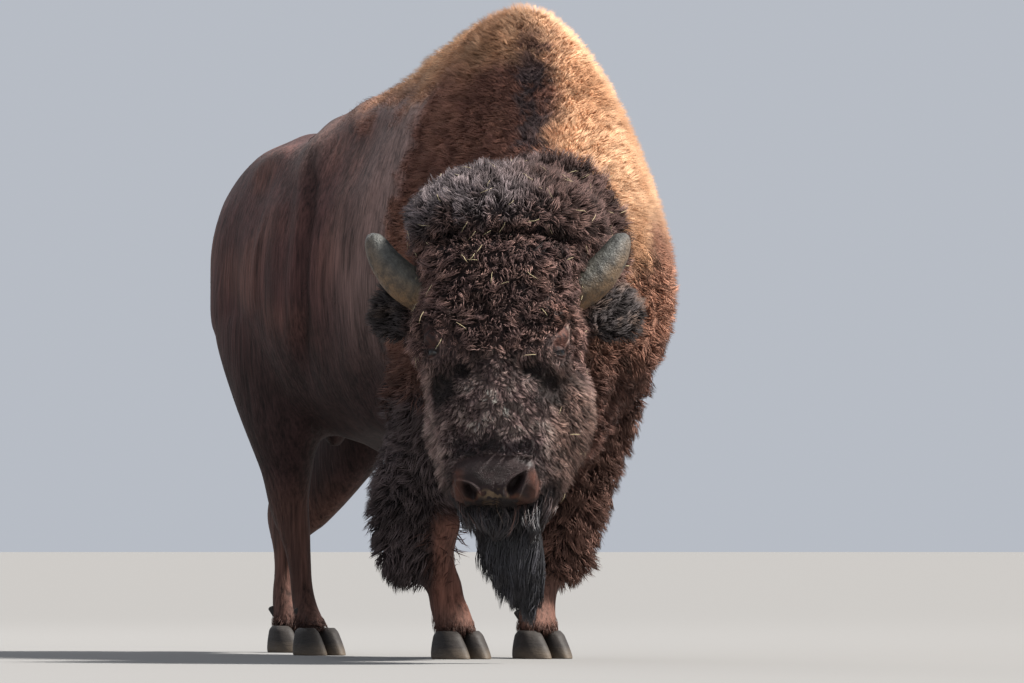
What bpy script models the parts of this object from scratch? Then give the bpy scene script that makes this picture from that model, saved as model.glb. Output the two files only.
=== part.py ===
"""American bison bull at life size, in mid-stride, with its head lowered and turned to its right.

Metres. +Z is up, the animal faces -Y and its left side is +X. It stands on z = 0, and its box is centred on
x = y = 0. The forms are worked out in a body frame whose origin is on the floor under the top of the hump,
and the whole animal is moved once, at the end. Every form is a loft through named sections, out to the tips of the
coat. The flesh is joined into two skins, the head and the rest, which thin cuts then part into named pieces.
"""

import math
from collections import namedtuple

import bmesh
import bpy
import numpy as np
from mathutils import Matrix, Vector

# Driving dimensions
HUMP_TOP = 1.74  # floor to the wool on top of the hump
TRUNK_AXIS = 1.00  # height of the middle of the chest
SETTLING = 0.012  # how much the rounding of the joined skin lowers the hump
CUT = 0.0004  # gap left between neighbouring pieces
CORONET = 0.070  # height of a hoof's upper edge

# How the head is carried
POLL = Vector((-0.444, -0.519, 0.961))  # point midway between the roots of the horns
HEAD_TURN = math.radians(34)  # about +Z, to the animal's right
FACE_SLOPE = math.radians(20)  # of the face line, from the vertical

HEAD_DEPTH = 0.17  # from the poll back to the cut between head and neck

# Mesh sizes
BODY_VOXEL, BODY_TRIANGLES = 0.020, 3470
HEAD_VOXEL, HEAD_TRIANGLES = 0.010, 1840

SIDES = {"left": 1, "right": -1}

# A section of a loft. The ring lies across the path: half is its half width to either side, over and under are
# its reaches to the two sides of the path (up and down on the trunk, back and front on a leg or the head), and
# round and square are the powers of those two halves (2 is an ellipse, less is pointed, more is boxy).
Section = namedtuple("Section", "x y z half over under round square", defaults=(2.0, 2.0))

TRUNK = [
    Section(0, -0.42, 1.02, 0.17, 0.28, 0.26),
    Section(0, -0.30, 1.00, 0.275, 0.46, 0.36, 1.6),
    Section(0, -0.12, 1.00, 0.345, 0.675, 0.46, 1.65, 1.9),
    Section(0, 0.02, TRUNK_AXIS, 0.365, HUMP_TOP + SETTLING - TRUNK_AXIS, 0.49, 1.65, 1.9),
    Section(0, 0.16, 1.00, 0.350, 0.718, 0.48, 1.7),
    Section(0, 0.40, 0.98, 0.340, 0.635, 0.45, 1.8, 2.1),
    Section(0, 0.60, 0.98, 0.345, 0.570, 0.43, 1.9, 2.1),
    Section(0, 0.78, 0.98, 0.340, 0.520, 0.41, 2.1, 2.1),
    Section(0, 0.95, 1.00, 0.315, 0.466, 0.38, 2.3),
    Section(0, 1.10, 1.04, 0.285, 0.395, 0.38, 2.3),
    Section(0, 1.25, 1.04, 0.240, 0.322, 0.36, 2.1),
    Section(0, 1.35, 1.02, 0.180, 0.245, 0.28),
    Section(0, 1.41, 1.00, 0.095, 0.13, 0.15),
]
# The neck runs forward and to the right, with its sections upright
NECK = [
    Section(0.00, -0.02, 1.08, 0.31, 0.46, 0.46),
    Section(-0.05, -0.18, 1.06, 0.300, 0.42, 0.47),
    Section(-0.14, -0.30, 1.03, 0.280, 0.34, 0.44),
    Section(-0.25, -0.39, 0.98, 0.235, 0.27, 0.38),
    Section(-0.35, -0.46, 0.93, 0.16, 0.18, 0.28),
]
NECK_SIDE = (-0.9, 0.44, 0)
FORELEGS = {
    "right": [
        Section(-0.22, 0.03, 0.98, 0.10, 0.16, 0.16),
        Section(-0.25, 0.05, 0.84, 0.11, 0.16, 0.16),
        Section(-0.262, 0.10, 0.66, 0.115, 0.14, 0.14),
        Section(-0.245, 0.15, 0.51, 0.095, 0.10, 0.10),
        Section(-0.205, 0.175, 0.38, 0.068, 0.068, 0.072),
        Section(-0.178, 0.17, 0.25, 0.046, 0.047, 0.044),
        Section(-0.160, 0.165, 0.145, 0.056, 0.062, 0.050),
        Section(-0.152, 0.140, 0.09, 0.060, 0.062, 0.056),
        Section(-0.150, 0.125, 0.03, 0.072, 0.068, 0.068),
    ],
    "left": [
        Section(0.22, -0.02, 0.98, 0.10, 0.16, 0.16),
        Section(0.245, 0.00, 0.84, 0.11, 0.16, 0.16),
        Section(0.250, 0.03, 0.66, 0.112, 0.14, 0.14),
        Section(0.202, 0.05, 0.51, 0.092, 0.10, 0.10),
        Section(0.142, 0.075, 0.38, 0.066, 0.068, 0.072),
        Section(0.108, 0.088, 0.25, 0.045, 0.047, 0.044),
        Section(0.082, 0.095, 0.145, 0.055, 0.062, 0.050),
        Section(0.067, 0.072, 0.09, 0.059, 0.062, 0.056),
        Section(0.061, 0.057, 0.03, 0.072, 0.068, 0.068),
    ],
}
FORELEG_BACK = {"left": 0.24, "right": 0.36}  # behind each foreleg and its long hair
# The long hair that hangs round each forearm like a trouser leg
CHAPS = {
    "right": [
        Section(-0.26, 0.10, 0.72, 0.10, 0.14, 0.14),
        Section(-0.255, 0.13, 0.56, 0.115, 0.15, 0.14),
        Section(-0.255, 0.17, 0.42, 0.137, 0.165, 0.14),
        Section(-0.245, 0.185, 0.30, 0.128, 0.145, 0.115),
        Section(-0.215, 0.19, 0.205, 0.066, 0.080, 0.062),
    ],
    "left": [
        Section(0.225, 0.02, 0.72, 0.09, 0.13, 0.13),
        Section(0.205, 0.05, 0.56, 0.115, 0.15, 0.14),
        Section(0.165, 0.07, 0.42, 0.122, 0.16, 0.135),
        Section(0.150, 0.085, 0.30, 0.110, 0.135, 0.105),
        Section(0.130, 0.095, 0.205, 0.062, 0.075, 0.060),
    ],
}
HINDLEGS = {
    "right": [
        Section(-0.150, 1.10, 1.14, 0.11, 0.18, 0.20),
        Section(-0.175, 1.07, 0.96, 0.118, 0.22, 0.24),
        Section(-0.188, 1.00, 0.78, 0.115, 0.185, 0.215),
        Section(-0.176, 0.980, 0.62, 0.094, 0.140, 0.155),
        Section(-0.155, 0.985, 0.50, 0.068, 0.098, 0.105),
        Section(-0.143, 0.985, 0.40, 0.056, 0.090, 0.072),
        Section(-0.136, 0.965, 0.32, 0.050, 0.056, 0.060),
        Section(-0.133, 0.948, 0.23, 0.043, 0.046, 0.046),
        Section(-0.131, 0.934, 0.145, 0.046, 0.052, 0.044),
        Section(-0.130, 0.905, 0.09, 0.050, 0.054, 0.050),
        Section(-0.130, 0.868, 0.03, 0.062, 0.062, 0.062),
    ],
    "left": [
        Section(0.150, 1.12, 1.14, 0.11, 0.20, 0.20),
        Section(0.175, 1.13, 0.96, 0.118, 0.22, 0.26),
        Section(0.190, 1.10, 0.79, 0.115, 0.21, 0.24),
        Section(0.165, 1.13, 0.65, 0.096, 0.160, 0.180),
        Section(0.135, 1.22, 0.51, 0.070, 0.105, 0.130),
        Section(0.110, 1.345, 0.405, 0.058, 0.095, 0.120),
        Section(0.093, 1.388, 0.32, 0.049, 0.060, 0.080),
        Section(0.086, 1.385, 0.23, 0.042, 0.044, 0.044),
        Section(0.081, 1.375, 0.145, 0.050, 0.055, 0.047),
        Section(0.077, 1.352, 0.09, 0.053, 0.056, 0.051),
        Section(0.075, 1.338, 0.03, 0.062, 0.062, 0.062),
    ],
}
HOCK = Vector((0.102, 1.418, 0.385))  # the point of the left hock, which the stride carries furthest back
TAIL = [
    Section(0, 1.33, 1.30, 0.040, 0.035, 0.035),
    Section(0.01, 1.44, 1.27, 0.036, 0.032, 0.032),
    Section(0.03, 1.480, 1.15, 0.026, 0.024, 0.024),
    Section(0.05, 1.472, 1.00, 0.021, 0.020, 0.020),
    Section(0.074, 1.462, 0.86, 0.022, 0.022, 0.022),
    Section(0.090, 1.456, 0.76, 0.036, 0.036, 0.036),
    Section(0.100, 1.452, 0.66, 0.036, 0.036, 0.036),
    Section(0.105, 1.450, 0.57, 0.014, 0.014, 0.014),
]

# The chest between the forelegs, with its hanging hair
BRISKET = [
    Section(-0.17, -0.42, 0.84, 0.09, 0.14, 0.12),
    Section(-0.11, -0.34, 0.72, 0.13, 0.18, 0.16),
    Section(-0.05, -0.20, 0.63, 0.15, 0.20, 0.16),
    Section(-0.02, -0.02, 0.61, 0.15, 0.18, 0.13),
    Section(0, 0.20, 0.63, 0.12, 0.14, 0.09),
]

# The head's sections, in its own frame: x to the animal's left, y out of the face, z down the face
SKULL = [
    Section(0, 0.00, -0.13, 0.12, 0.10, 0.09, 2.2, 2.2),
    Section(0, 0.00, -0.05, 0.19, 0.17, 0.14, 2.3, 2.3),
    Section(0, 0.00, 0.05, 0.220, 0.23, 0.172, 2.3, 2.4),
    Section(0, 0.00, 0.13, 0.220, 0.255, 0.172, 2.3, 2.4),
    Section(0, 0.00, 0.20, 0.202, 0.265, 0.155, 2.3, 2.3),
    Section(0, 0.00, 0.28, 0.184, 0.255, 0.138, 2.2, 2.2),
    Section(0, 0.00, 0.36, 0.166, 0.225, 0.125, 2.2, 2.2),
    Section(0, 0.00, 0.43, 0.146, 0.185, 0.114, 2.2, 2.3),
    Section(0, 0.00, 0.49, 0.128, 0.150, 0.105, 2.3, 2.5),
    Section(0, 0.00, 0.54, 0.118, 0.125, 0.096, 2.4, 2.8),
    Section(0, 0.00, 0.58, 0.104, 0.098, 0.078, 2.4, 2.8),
    Section(0, 0.00, 0.602, 0.074, 0.066, 0.048, 2.2, 2.4),
]
# The dome of wool between and above the horns
BONNET = [
    Section(0.015, 0.015, -0.335, 0.10, 0.06, 0.06),
    Section(0.015, 0.015, -0.305, 0.180, 0.12, 0.110),
    Section(0.015, 0.01, -0.24, 0.255, 0.17, 0.165),
    Section(0.015, 0.01, -0.17, 0.280, 0.185, 0.190, 2.0, 2.2),
    Section(0.010, 0.01, -0.09, 0.255, 0.185, 0.195, 2.0, 2.3),
    Section(0.005, 0.01, 0.00, 0.225, 0.17, 0.190, 2.0, 2.3),
    Section(0, 0.01, 0.10, 0.205, 0.14, 0.170, 2.0, 2.2),
]
HORN = [
    Section(0.110, -0.012, 0.030, 0.050, 0.050, 0.050),
    Section(0.180, -0.012, 0.018, 0.056, 0.055, 0.055),
    Section(0.240, -0.002, -0.014, 0.054, 0.053, 0.053),
    Section(0.284, 0.010, -0.060, 0.046, 0.046, 0.046),
    Section(0.310, 0.016, -0.106, 0.034, 0.034, 0.034),
    Section(0.320, 0.016, -0.134, 0.019, 0.019, 0.019),
]
EAR = [
    Section(0.150, -0.075, 0.000, 0.030, 0.024, 0.024),
    Section(0.206, -0.095, 0.000, 0.066, 0.034, 0.028),
    Section(0.258, -0.112, 0.014, 0.096, 0.038, 0.030),
    Section(0.310, -0.128, 0.032, 0.088, 0.034, 0.026),
    Section(0.348, -0.140, 0.050, 0.052, 0.022, 0.018),
    Section(0.364, -0.145, 0.056, 0.018, 0.012, 0.010),
]
BEARD = [
    Section(0.010, -0.090, 0.500, 0.085, 0.095, 0.060),
    Section(0.024, -0.105, 0.560, 0.122, 0.100, 0.078),
    Section(0.042, -0.135, 0.640, 0.116, 0.090, 0.078),
    Section(0.060, -0.165, 0.715, 0.094, 0.074, 0.064),
    Section(0.076, -0.190, 0.785, 0.062, 0.050, 0.046),
    Section(0.088, -0.210, 0.842, 0.022, 0.020, 0.020),
]
# The long hair of the cheeks and jaws, as ellipsoids: centre, reach to each side. It is fuller on the left.
CHEEKS = [
    (Vector((0.124, -0.082, 0.315)), (0.128, 0.128, 0.195)),
    (Vector((0.098, -0.055, 0.460)), (0.102, 0.090, 0.150)),
    (Vector((-0.100, -0.110, 0.335)), (0.088, 0.110, 0.150)),
    (Vector((-0.070, -0.070, 0.475)), (0.078, 0.075, 0.120)),
]
EYE_AT, EYE_RADIUS = Vector((0.150, 0.084, 0.215)), 0.0215
EAR_SPREAD = {"left": 1.0, "right": 0.9}  # the right ear is laid further back


# Frames and meshes


def head_matrix():
    """The head's own frame: x to the animal's left, y out of the face, z down the face."""
    left = Vector((math.cos(HEAD_TURN), -math.sin(HEAD_TURN), 0))
    ahead = Vector((-math.sin(HEAD_TURN), -math.cos(HEAD_TURN), 0))
    up = Vector((0, 0, 1))
    down_face = ahead * math.sin(FACE_SLOPE) - up * math.cos(FACE_SLOPE)
    out_of_face = ahead * math.cos(FACE_SLOPE) + up * math.sin(FACE_SLOPE)
    turn = Matrix((left, out_of_face, down_face)).transposed()
    return Matrix.Translation(POLL) @ turn.to_4x4()


def finish(name, bm):
    """A new object from the bmesh, which is freed."""
    bmesh.ops.recalc_face_normals(bm, faces=bm.faces)
    mesh = bpy.data.meshes.new(name)
    bm.to_mesh(mesh)
    bm.free()
    obj = bpy.data.objects.new(name, mesh)
    bpy.context.scene.collection.objects.link(obj)
    return obj


def drop(*objects):
    for obj in objects:
        bpy.data.objects.remove(obj)


def apply_modifiers(obj):
    graph = bpy.context.evaluated_depsgraph_get()
    made = bpy.data.meshes.new_from_object(obj.evaluated_get(graph))
    obj.modifiers.clear()
    obj.data = made
    return obj


def resampled(sections, steps):
    """The sections with more between them, on a smooth curve through them all."""
    rows = np.array(sections, float)
    padded = np.vstack([2 * rows[0] - rows[1], rows, 2 * rows[-1] - rows[-2]])
    found = []
    for i in range(1, len(rows)):
        a, b, c, d = padded[i - 1 : i + 3]
        for t in np.arange(steps) / steps:
            bend = (2 * a - 5 * b + 4 * c - d) * t * t + (3 * b - a - 3 * c + d) * t**3
            found.append(b + 0.5 * ((c - a) * t + bend))
    return np.array([*found, rows[-1]])


def superellipse(angle, row):
    """Offsets (to the side, over the path) of the ring's point at this angle."""
    half, over, under, round_power, square_power = row[3:8]
    power = round_power if math.sin(angle) >= 0 else square_power
    side = math.copysign(abs(math.cos(angle)) ** (2 / power), math.cos(angle))
    lift = math.copysign(abs(math.sin(angle)) ** (2 / power), math.sin(angle))
    return half * side, (over if lift >= 0 else under) * lift


def loft(name, sections, count=20, steps=3, side=(1, 0, 0), matrix=None, mirror=1):
    """A closed solid through the sections, with count points round each ring."""
    rows = resampled(sections, steps)
    path = rows[:, :3]
    tangents = np.gradient(path, axis=0)
    bm = bmesh.new()
    loops = []
    for row, tangent in zip(rows, tangents):
        ahead = Vector(tangent).normalized()
        across = (Vector(side) - ahead * ahead.dot(Vector(side))).normalized()
        lift = across.cross(ahead)
        ring = bmesh.ops.create_circle(bm, segments=count, radius=1)["verts"]
        for k, vertex in enumerate(ring):
            to_side, over = superellipse(2 * math.pi * k / count, row)
            vertex.co = Vector(row[:3]) + across * to_side + lift * over
        loops.append(list({edge for vertex in ring for edge in vertex.link_edges}))
        if len(loops) > 1:
            bmesh.ops.bridge_loops(bm, edges=loops[-2] + loops[-1])
    for loop in (loops[0], loops[-1]):
        bmesh.ops.contextual_create(bm, geom=loop)
    bmesh.ops.scale(bm, verts=bm.verts, vec=(mirror, 1, 1))
    bmesh.ops.transform(bm, verts=bm.verts, matrix=matrix or Matrix())
    return finish(name, bm)


def ball(name, at, radii, matrix=None, segments=20):
    """An ellipsoid."""
    bm = bmesh.new()
    place = Matrix.Translation(at) @ Matrix.Diagonal((*radii, 1))
    bmesh.ops.create_uvsphere(bm, u_segments=segments, v_segments=segments // 2, radius=1)
    bmesh.ops.transform(bm, verts=bm.verts, matrix=(matrix or Matrix()) @ place)
    return finish(name, bm)


def joined(name, forms, voxel, smoothing, triangles):
    """One skin round all the overlapping forms, its joins rounded and its mesh thinned."""
    bm = bmesh.new()
    for form in forms:
        bm.from_mesh(form.data)
    drop(*forms)
    obj = finish(name, bm)
    remesh = obj.modifiers.new("skin", "REMESH")
    remesh.mode, remesh.voxel_size = "VOXEL", voxel
    smooth = obj.modifiers.new("round", "SMOOTH")
    smooth.factor, smooth.iterations = 0.5, smoothing
    apply_modifiers(obj)
    thin = obj.modifiers.new("thin", "DECIMATE")
    obj.data.calc_loop_triangles()
    thin.ratio = triangles / len(obj.data.loop_triangles)
    return apply_modifiers(obj)


def boolean(obj, other, operation):
    cut = obj.modifiers.new(operation.lower(), "BOOLEAN")
    cut.operation, cut.object = operation, other
    apply_modifiers(obj)
    keep_largest(obj)
    return obj


def keep_largest(obj):
    """Drops the crumbs that a cut leaves beside the piece."""
    bm = bmesh.new()
    bm.from_mesh(obj.data)
    left, islands = set(bm.verts), []
    while left:
        island, todo = set(), [left.pop()]
        while todo:
            vertex = todo.pop()
            island.add(vertex)
            near = {edge.other_vert(vertex) for edge in vertex.link_edges} & left
            left -= near
            todo += near
        islands.append(island)
    islands.sort(key=len)
    crumbs = [vertex for island in islands[:-1] for vertex in island]
    bmesh.ops.delete(bm, geom=crumbs, context="VERTS")
    bm.to_mesh(obj.data)
    bm.free()


def swollen(obj, by):
    """A copy of the object with every point moved out by this much, as a cutter."""
    bm = bmesh.new()
    bm.from_mesh(obj.data)
    bm.normal_update()
    for vertex in bm.verts:
        vertex.co += vertex.normal * by
    return finish(obj.name + "_room", bm)


def region(planes, grow):
    """A big block bounded by planes, each (point, outward normal), moved out by grow."""
    bm = bmesh.new()
    bmesh.ops.create_cube(bm, size=6)
    for point, normal in planes:
        outward = Vector(normal).normalized()
        geometry = list(bm.verts) + list(bm.edges) + list(bm.faces)
        bmesh.ops.bisect_plane(
            bm, geom=geometry, plane_co=Vector(point) + outward * grow, plane_no=outward, clear_outer=True
        )
        bmesh.ops.holes_fill(bm, edges=bm.edges)
    return finish("region", bm)


def taken(body, name, planes):
    """Parts the body: the piece inside the planes, while the body keeps the rest."""
    piece = bpy.data.objects.new(name, body.data.copy())
    bpy.context.scene.collection.objects.link(piece)
    inner, outer = region(planes, -CUT / 2), region(planes, CUT / 2)
    boolean(piece, inner, "INTERSECT")
    boolean(body, outer, "DIFFERENCE")
    drop(inner, outer)
    return piece


def make_room(body, piece, gap=CUT):
    """Cuts a bed for the piece into the body."""
    cutter = swollen(piece, gap)
    boolean(body, cutter, "DIFFERENCE")
    drop(cutter)


# The forms


def flesh_forms():
    """The trunk, neck and legs, out to the tips of the coat."""
    forms = [loft("trunk", TRUNK, 28), loft("neck", NECK, 24, side=NECK_SIDE)]
    for name in SIDES:
        forms.append(loft("foreleg", FORELEGS[name], 16))
        forms.append(loft("chaps", CHAPS[name], 20))
        forms.append(loft("hindleg", HINDLEGS[name], 16))
    for sign in SIDES.values():
        forms.append(ball("hook", (sign * 0.185, 0.92, 1.310), (0.075, 0.16, 0.080)))
    forms.append(ball("hock", HOCK, (0.050, 0.082, 0.110)))
    forms.append(loft("brisket", BRISKET, 20))
    forms.append(ball("sheath", (0, 0.66, 0.585), (0.055, 0.13, 0.065)))
    return forms


def head_forms(to_world):
    """The skull, its wool and the root of the neck."""
    return [
        loft("skull", SKULL, 28, matrix=to_world),
        loft("bonnet", BONNET, 28, matrix=to_world),
        loft("neck", NECK, 24, side=NECK_SIDE),
        ball("brow", Vector((0.115, 0.085, 0.135)), (0.075, 0.055, 0.055), to_world),
        ball("brow", Vector((-0.115, 0.085, 0.135)), (0.075, 0.055, 0.055), to_world),
        ball("chin", Vector((0, -0.045, 0.565)), (0.060, 0.055, 0.050), to_world),
        *(ball("cheek", centre, radii, to_world) for centre, radii in CHEEKS),
    ]


def claws(name, centre, length, width, height):
    """The two claws of one foot, as separate solids on the floor."""
    made = []
    for side_name, sign in SIDES.items():
        sections = [
            Section(0, 0, 0.0, width * 0.50, length * 0.56, length * 0.44, 1.9, 2.8),
            Section(0, 0, height * 0.5, width * 0.48, length * 0.47, length * 0.43, 1.9, 2.8),
            Section(0, 0, height, width * 0.44, length * 0.38, length * 0.41, 2.0, 2.6),
        ]
        place = Matrix.Translation((centre[0] + sign * (width * 0.5 + 0.002), centre[1], 0))
        piece = loft(f"{name}_{side_name}_claw", sections, 14, 1, matrix=place)
        made.append(piece)
    return made


# The animal


def paint(obj, material):
    obj.data.materials.clear()
    obj.data.materials.append(material)
    obj.data.shade_smooth()
    obj.data.set_sharp_from_angle(angle=math.radians(60))


def material(name, colour, roughness):
    made = bpy.data.materials.new(name)
    made.use_nodes = True
    shader = made.node_tree.nodes["Principled BSDF"]
    shader.inputs["Base Color"].default_value = (*colour, 1)
    shader.inputs["Roughness"].default_value = roughness
    return made


def rename(obj, name):
    obj.name = name
    obj.data.name = name
    return obj


def build():
    to_world = head_matrix()
    body = joined("body", flesh_forms(), BODY_VOXEL, 12, BODY_TRIANGLES)
    head = joined("head", head_forms(to_world), HEAD_VOXEL, 8, HEAD_TRIANGLES)

    # The neck meets the head at a slanting cut behind the ears and the jaw.
    ahead = Vector((-math.sin(HEAD_TURN), -math.cos(HEAD_TURN), 0.14))
    nape = POLL - ahead * HEAD_DEPTH
    front, back = [(nape, -ahead)], [(nape, ahead)]
    inner = region(front, -CUT / 2)
    boolean(head, inner, "INTERSECT")
    outer = region(back, -CUT / 2)
    boolean(body, outer, "INTERSECT")
    drop(inner, outer)
    pieces = {"head": head}

    # The neck ends in front of the shoulder.
    pieces["neck"] = taken(body, "neck", [((-0.06, -0.24, 1.0), (0.38, 0.92, 0.08))])
    pieces["hump"] = taken(
        body, "hump", [((0, 0.66, 1.50), (0, 0.36, -0.93)), ((0, 0.90, 1.5), (0, 1, 0))]
    )
    for name, sign in SIDES.items():
        pieces[f"hind_leg_{name}"] = taken(
            body,
            f"hind_leg_{name}",
            [
                ((0, 0.84, 0.75), (0, -0.98, 0.20)),
                ((0, 0, 0), (-sign, 0, 0)),
                ((sign * 0.18, 1.05, 0.84), (-sign * 0.55, 0, 0.84)),
            ],
        )
        pieces[f"foreleg_{name}"] = taken(
            body,
            f"foreleg_{name}",
            [
                ((0, FORELEG_BACK[name], 0), (0, 1, 0)),
                ((sign * 0.10, 0, 0.48), (-sign * 0.94, 0, 0.34)),
                ((sign * 0.26, 0.05, 0.63), (-sign * 0.4, 0, 0.84)),
            ],
        )
    pieces["trunk"] = body

    for name, sign in SIDES.items():
        horn = loft(f"horn_{name}", HORN, 14, 2, side=(0, 1, 0), matrix=to_world, mirror=sign)
        spread = sign * EAR_SPREAD[name]
        ear = loft(f"ear_{name}", EAR, 14, 2, side=(0, 0, 1), matrix=to_world, mirror=spread)
        at = Vector((sign * EYE_AT.x, EYE_AT.y, EYE_AT.z))
        eye = ball(f"eye_{name}", at, (EYE_RADIUS,) * 3, to_world, 14)
        make_room(horn, head, 0.001)
        make_room(ear, head, 0.001)
        make_room(ear, pieces["neck"], 0.001)
        make_room(head, eye)
        for piece in (horn, ear, eye):
            pieces[piece.name] = piece

    beard = loft("beard", BEARD, 16, 2, matrix=to_world)
    make_room(beard, head, 0.002)
    pieces["beard"] = beard

    tail = loft("tail", TAIL, 10, 2)
    make_room(tail, body, 0.002)
    pieces["tail"] = tail

    scrotum = ball("scrotum", (0, 0.985, 0.630), (0.044, 0.046, 0.075), segments=14)
    for flesh in (body, pieces["hind_leg_left"], pieces["hind_leg_right"]):
        make_room(scrotum, flesh, 0.002)
    pieces["scrotum"] = scrotum

    feet = {
        "fore_right": (pieces["foreleg_right"], FORELEGS["right"][-1], 0.150, 0.070),
        "fore_left": (pieces["foreleg_left"], FORELEGS["left"][-1], 0.150, 0.070),
        "hind_right": (pieces["hind_leg_right"], HINDLEGS["right"][-1], 0.140, 0.062),
        "hind_left": (pieces["hind_leg_left"], HINDLEGS["left"][-1], 0.140, 0.062),
    }
    for name, (leg, foot, length, width) in feet.items():
        above = region([((0, 0, CORONET + CUT / 2), (0, 0, -1))], 0)
        boolean(leg, above, "INTERSECT")
        drop(above)
        for claw in claws(name, (foot.x, foot.y - 0.012), length, width, CORONET - CUT / 2):
            pieces[claw.name] = claw

    wool = material("wool", (0.10, 0.055, 0.035), 0.95)
    coat = material("coat", (0.14, 0.075, 0.045), 0.85)
    keratin = material("horn", (0.30, 0.28, 0.22), 0.55)
    hoof = material("hoof", (0.05, 0.045, 0.04), 0.6)
    eyeball = material("eye", (0.02, 0.012, 0.01), 0.1)
    for name, obj in pieces.items():
        rename(obj, name)
        kind = name.split("_")[0]
        if name.endswith("claw"):
            paint(obj, hoof)
        elif kind == "horn":
            paint(obj, keratin)
        elif kind == "eye":
            paint(obj, eyeball)
        elif kind in ("head", "neck", "hump", "beard", "ear", "foreleg"):
            paint(obj, wool)
        else:
            paint(obj, coat)
    centre_on_origin(pieces.values())


def centre_on_origin(objects):
    """Moves the animal so that its box is centred over the origin and rests on the floor."""
    corners = np.array([vertex.co for obj in objects for vertex in obj.data.vertices])
    low, high = corners.min(axis=0), corners.max(axis=0)
    shift = Matrix.Translation((-(low[0] + high[0]) / 2, -(low[1] + high[1]) / 2, -low[2]))
    for obj in objects:
        obj.data.transform(shift)


for old in list(bpy.data.objects):
    bpy.data.objects.remove(old)
build()
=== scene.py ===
import math

import bmesh
import bpy
import numpy as np
from mathutils import Matrix, Vector
from mathutils.bvhtree import BVHTree
from mathutils.kdtree import KDTree


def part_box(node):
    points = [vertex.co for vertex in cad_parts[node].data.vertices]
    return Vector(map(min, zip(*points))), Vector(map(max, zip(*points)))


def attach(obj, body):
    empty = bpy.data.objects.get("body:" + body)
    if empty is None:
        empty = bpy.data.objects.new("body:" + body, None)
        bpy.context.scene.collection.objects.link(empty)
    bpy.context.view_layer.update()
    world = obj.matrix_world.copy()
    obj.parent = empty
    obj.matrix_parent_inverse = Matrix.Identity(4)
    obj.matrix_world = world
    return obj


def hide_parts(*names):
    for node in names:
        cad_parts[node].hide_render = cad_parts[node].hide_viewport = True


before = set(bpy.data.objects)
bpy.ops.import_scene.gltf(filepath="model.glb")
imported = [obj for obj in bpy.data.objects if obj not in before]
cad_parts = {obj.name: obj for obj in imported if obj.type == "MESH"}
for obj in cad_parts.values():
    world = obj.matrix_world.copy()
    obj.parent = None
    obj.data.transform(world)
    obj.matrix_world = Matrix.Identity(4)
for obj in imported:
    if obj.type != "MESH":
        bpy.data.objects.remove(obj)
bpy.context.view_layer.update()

# ---- How the animal stands: metres, facing -Y, left side +X ----
# The solids are built round a point on the floor under the top of the hump, and the head round a point
# between the roots of the horns.
TURN, SLOPE = math.radians(34), math.radians(20)
POLL = np.array((-0.444, -0.519, 0.961))
EYE_AT, EYE_RADIUS = np.array((0.150, 0.084, 0.215)), 0.0215
# Down the face from there: the crease under the bonnet, the middle of the nostrils, and the mouth.
FOLD, NOSTRILS, MOUTH = -0.088, 0.5715, 0.603
FULL_TURN = 6.28  # radians
SIDES = {"left": 1, "right": -1}

LEFT = np.array((math.cos(TURN), -math.sin(TURN), 0))
AHEAD = np.array((-math.sin(TURN), -math.cos(TURN), 0))
UP = np.array((0, 0, 1.0))
HEAD = np.array(
    (LEFT, AHEAD * math.cos(SLOPE) + UP * math.sin(SLOPE), AHEAD * math.sin(SLOPE) - UP * math.cos(SLOPE))
)  # rows: to the animal's left, out of the face, down the face


def middle(node):
    return np.mean([list(corner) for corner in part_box(node)], axis=0)


HUMP_FOOT = middle("eye_left") - POLL - EYE_AT @ HEAD

FLESH = [
    "head", "neck", "hump", "trunk", "foreleg_left", "foreleg_right", "hind_leg_left", "hind_leg_right",
    "ear_left", "ear_right", "beard", "tail", "scrotum",
]


def on_body(points):
    return points - HUMP_FOOT


def on_head(points):
    return (points - HUMP_FOOT - POLL) @ HEAD.T


def from_head(places):
    return np.asarray(places, float) @ HEAD + POLL + HUMP_FOOT


# ---- Small sums ----
def ease(low, high, x):
    """0 at low, 1 at high and smooth between them, whichever is the larger."""
    t = np.clip((x - low) / (high - low), 0, 1)
    return t * t * (3 - 2 * t)


def bell(x, at, wide):
    """1 in the middle of a soft bump, and near 0 two widths away."""
    return np.exp(-(((x - at) / wide) ** 2))


def unit(v):
    return v / np.maximum(np.linalg.norm(v, axis=-1, keepdims=True), 1e-9)


def swirl(points, size, seed):
    """A smooth wandering value between about -1 and 1, with waves of this size."""
    chance = np.random.default_rng(seed)
    waves = unit(chance.normal(size=(9, 3))) * (2 * math.pi / size) * (0.6 + 0.9 * chance.random((9, 1)))
    return np.sin(points @ waves.T + chance.random(9) * FULL_TURN).sum(1) / 3.2


def colour(red, green, blue):
    """A colour in the usual 0 to 255 steps, as light."""
    c = np.array((red, green, blue)) / 255
    return np.where(c < 0.04045, c / 12.92, ((c + 0.055) / 1.055) ** 2.4)


def opaque(red, green, blue):
    return (*colour(red, green, blue), 1)


def blend(first, second, share):
    share = np.asarray(share)[..., None]
    return first * (1 - share) + second * share


def shades(first, second, share):
    """Two colours, each as red, green and blue, run into one another."""
    return blend(colour(*first), colour(*second), share)


def painted(base, *layers):
    """The base with more colours over it, each as red, green and blue, and how much of it shows."""
    for rgb, share in layers:
        base = blend(base, colour(*rgb), share)
    return base


def dimmed(base, share):
    return base * (1 - share)[:, None]


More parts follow.
